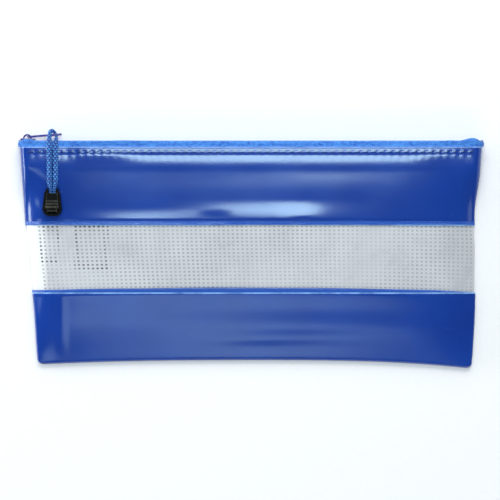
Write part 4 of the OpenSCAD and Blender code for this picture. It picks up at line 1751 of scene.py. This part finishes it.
@dataclass
class Studio:
    """Camera, lights and floor."""

    lens: float = 200.0
    sensor: float = 36.0
    frame_w: float = 302.5 * MM
    aim: tuple[float, float] = (-0.6 * MM, -1.3 * MM)
    aim_z: float = 9.5 * MM
    floor_half: float = 3.0
    floor_gap: float = 0.2 * MM
    sky: Colour = (0.94, 0.97, 1.0)
    sky_strength: float = 0.14

    def camera(self) -> None:
        """Look straight down on the face of the bag."""
        data = bpy.data.cameras.new("camera")
        data.lens = self.lens
        data.sensor_width = self.sensor
        eye = bpy.data.objects.new("camera", data)
        eye.location = (*self.aim, self.aim_z + self.lens / self.sensor * self.frame_w)
        bpy.context.scene.collection.objects.link(eye)
        bpy.context.scene.camera = eye

    def area(self, name: str, where: Sequence[float], size: tuple[float, float], watts: float,
             target: Sequence[float] = (0, 0, 0), tint: Colour = (1, 1, 1), oval: bool = False) -> None:
        """Hang one soft light.

        Args:
            name: Name of the light.
            where: Its place.
            size: Its width and height.
            watts: Its power.
            target: What it points at.
            tint: Its colour.
            oval: Whether it is oval instead of rectangular.
        """
        data = bpy.data.lights.new(name, "AREA")
        data.shape = "ELLIPSE" if oval else "RECTANGLE"
        data.size, data.size_y = size
        data.energy = watts
        data.color = tint
        lamp = bpy.data.objects.new(name, data)
        lamp.location = where
        lamp.rotation_mode = "QUATERNION"
        lamp.rotation_quaternion = (Vector(target) - Vector(where)).to_track_quat("-Z", "Y")
        bpy.context.scene.collection.objects.link(lamp)

    def build(self) -> None:
        """Set up the floor, the lights and the sky."""
        bm = bmesh.new()
        bmesh.ops.create_grid(bm, x_segments=1, y_segments=1, size=self.floor_half)
        floor = new_object("floor", bm, [FloorFinish().make()])
        floor.location.z = -self.floor_gap
        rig.stage(floor)
        cool = (0.76, 0.91, 1.0)
        self.area("overhead_oval", (0.01, 0.258, 1.25), (0.50, 0.25), 5.2, (0, 0.05, 0), cool, oval=True)
        self.area("foot_oval", (-0.13, -0.36, 1.25), (0.62, 0.17), 0.75, (0, -0.04, 0), cool, oval=True)
        self.area("fold_oval", (-0.02, -0.545, 1.25), (0.28, 0.12), 0.26, (0, -0.06, 0), cool, oval=True)
        self.area("side_strip", (-0.975, -0.22, 0.70), (0.10, 0.20), 0.22, (-0.13, -0.05, 0), cool)
        self.area("key_softbox", (0.1, 0.85, 0.80), (0.9, 0.40), 7.5)
        self.area("head_softbox", (-0.10, 1.0, 0.34), (1.9, 0.6), 6.5)
        self.area("left_softbox", (-1.10, 0.10, 0.16), (1.1, 0.20), 9.5)
        self.area("right_softbox", (1.15, 0.0, 0.16), (1.1, 0.20), 0.8)
        self.area("foot_softbox", (0.0, -1.0, 0.34), (1.9, 0.6), 7.0)
        world = bpy.data.worlds.new("sky")
        world.use_nodes = True
        background = world.node_tree.nodes["Background"]
        background.inputs["Color"].default_value = (*self.sky, 1)
        background.inputs["Strength"].default_value = self.sky_strength
        bpy.context.scene.world = world
        bpy.context.scene.view_settings.view_transform = "Standard"


def corners(box: tuple[Vector, Vector]) -> list[list[float]]:
    """Turn a box into plain lists of numbers."""
    return [list(corner) for corner in box]


def make_finishes(shape: BagShape) -> Finishes:
    """Make the finishes, some of which need to know where the bag's welds and edges lie.

    Args:
        shape: The bag.

    Returns:
        Every material.
    """
    weld = 1.3 * MM
    welds = (shape.window_top + weld, shape.window_low - weld)
    cut_edges = (shape.mouth_y, shape.window_top, shape.window_low - 2 * weld)
    beside_seam = (-122 * MM, shape.window_top - 11.5 * MM, 5.5 * MM, 11 * MM)
    under_cord = (-96.5 * MM, shape.window_top - 13 * MM, 10 * MM, 13 * MM)
    seam_x = 9 * MM - shape.half_w(shape.window_low)
    return Finishes(welds, cut_edges, (beside_seam, under_cord), seam_x)


def dress_hidden(finishes: Finishes) -> None:
    """Give the CAD nodes that stay, all of them threads, cores or the knot, their finishes."""
    kept = {
        "coil_core": finishes.thread, "coil_stitching": finishes.thread, "seam_stitching": finishes.thread,
        "zip_end_stitching": finishes.thread, "cord_knot": finishes.cord,
    }
    for made in bpy.data.objects:
        for ending, material in kept.items():
            if made.name.endswith(ending) and made.type == "MESH":
                made.data.materials.clear()
                made.data.materials.append(material)


def main() -> None:
    """Build the bag in its frame."""
    logging.basicConfig(level=logging.INFO, format="%(name)s: %(message)s")
    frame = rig.load()
    cad_box = corners(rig.bounds())
    studio = Studio()
    studio.camera()
    shape = BagShape.from_frame()
    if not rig.quick():
        shape.drape.settle()
    finishes = make_finishes(shape)
    # rubbed is the grey plastic of the cord end's rounded edges: a painted highlight, with some rubbed wear.
    plastic, rubbed, enamel = finishes.plastic, finishes.worn_and_lit_plastic, finishes.enamel
    cord_end = [
        HardPart("cord_end_shell", "cord", "cord_end_plastic", plastic, rubbed, 0.36 * MM, 3).build(),
        HardPart("cord_end_lid", "lid", "cord_end_plastic", plastic, rubbed, 0.22 * MM, 2).build(),
    ]
    dress_hidden(finishes)
    panels = VinylPanels(shape, finishes)
    built = [
        PullCord(finishes).build(frame, [*cord_end, "cord_knot"]),
        *cord_end,
        SliderBody("slider_body", "slider", "slider_enamel", enamel, enamel, 0.12 * MM, 2).build(),
        HardPart("pull_tab", "tab", "slider_enamel", enamel, enamel, 0.2 * MM, 3).build(),
        *panels.build(),
        *MeshWindows(shape, finishes).build(),
        *ZipperTapes(shape, finishes).build(),
        *CoilChain(finishes).build(),
        *MouthSeams(shape, panels, finishes).build(),
    ]
    for piece in built:
        log.info("%s: %d faces", piece.name, len(piece.data.polygons))
    studio.build()
    with open(SIZE_FILE, "w") as size_file:
        json.dump({"cad_box": cad_box, "visual_box": corners(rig.bounds())}, size_file)


if __name__ == "__main__":
    main()
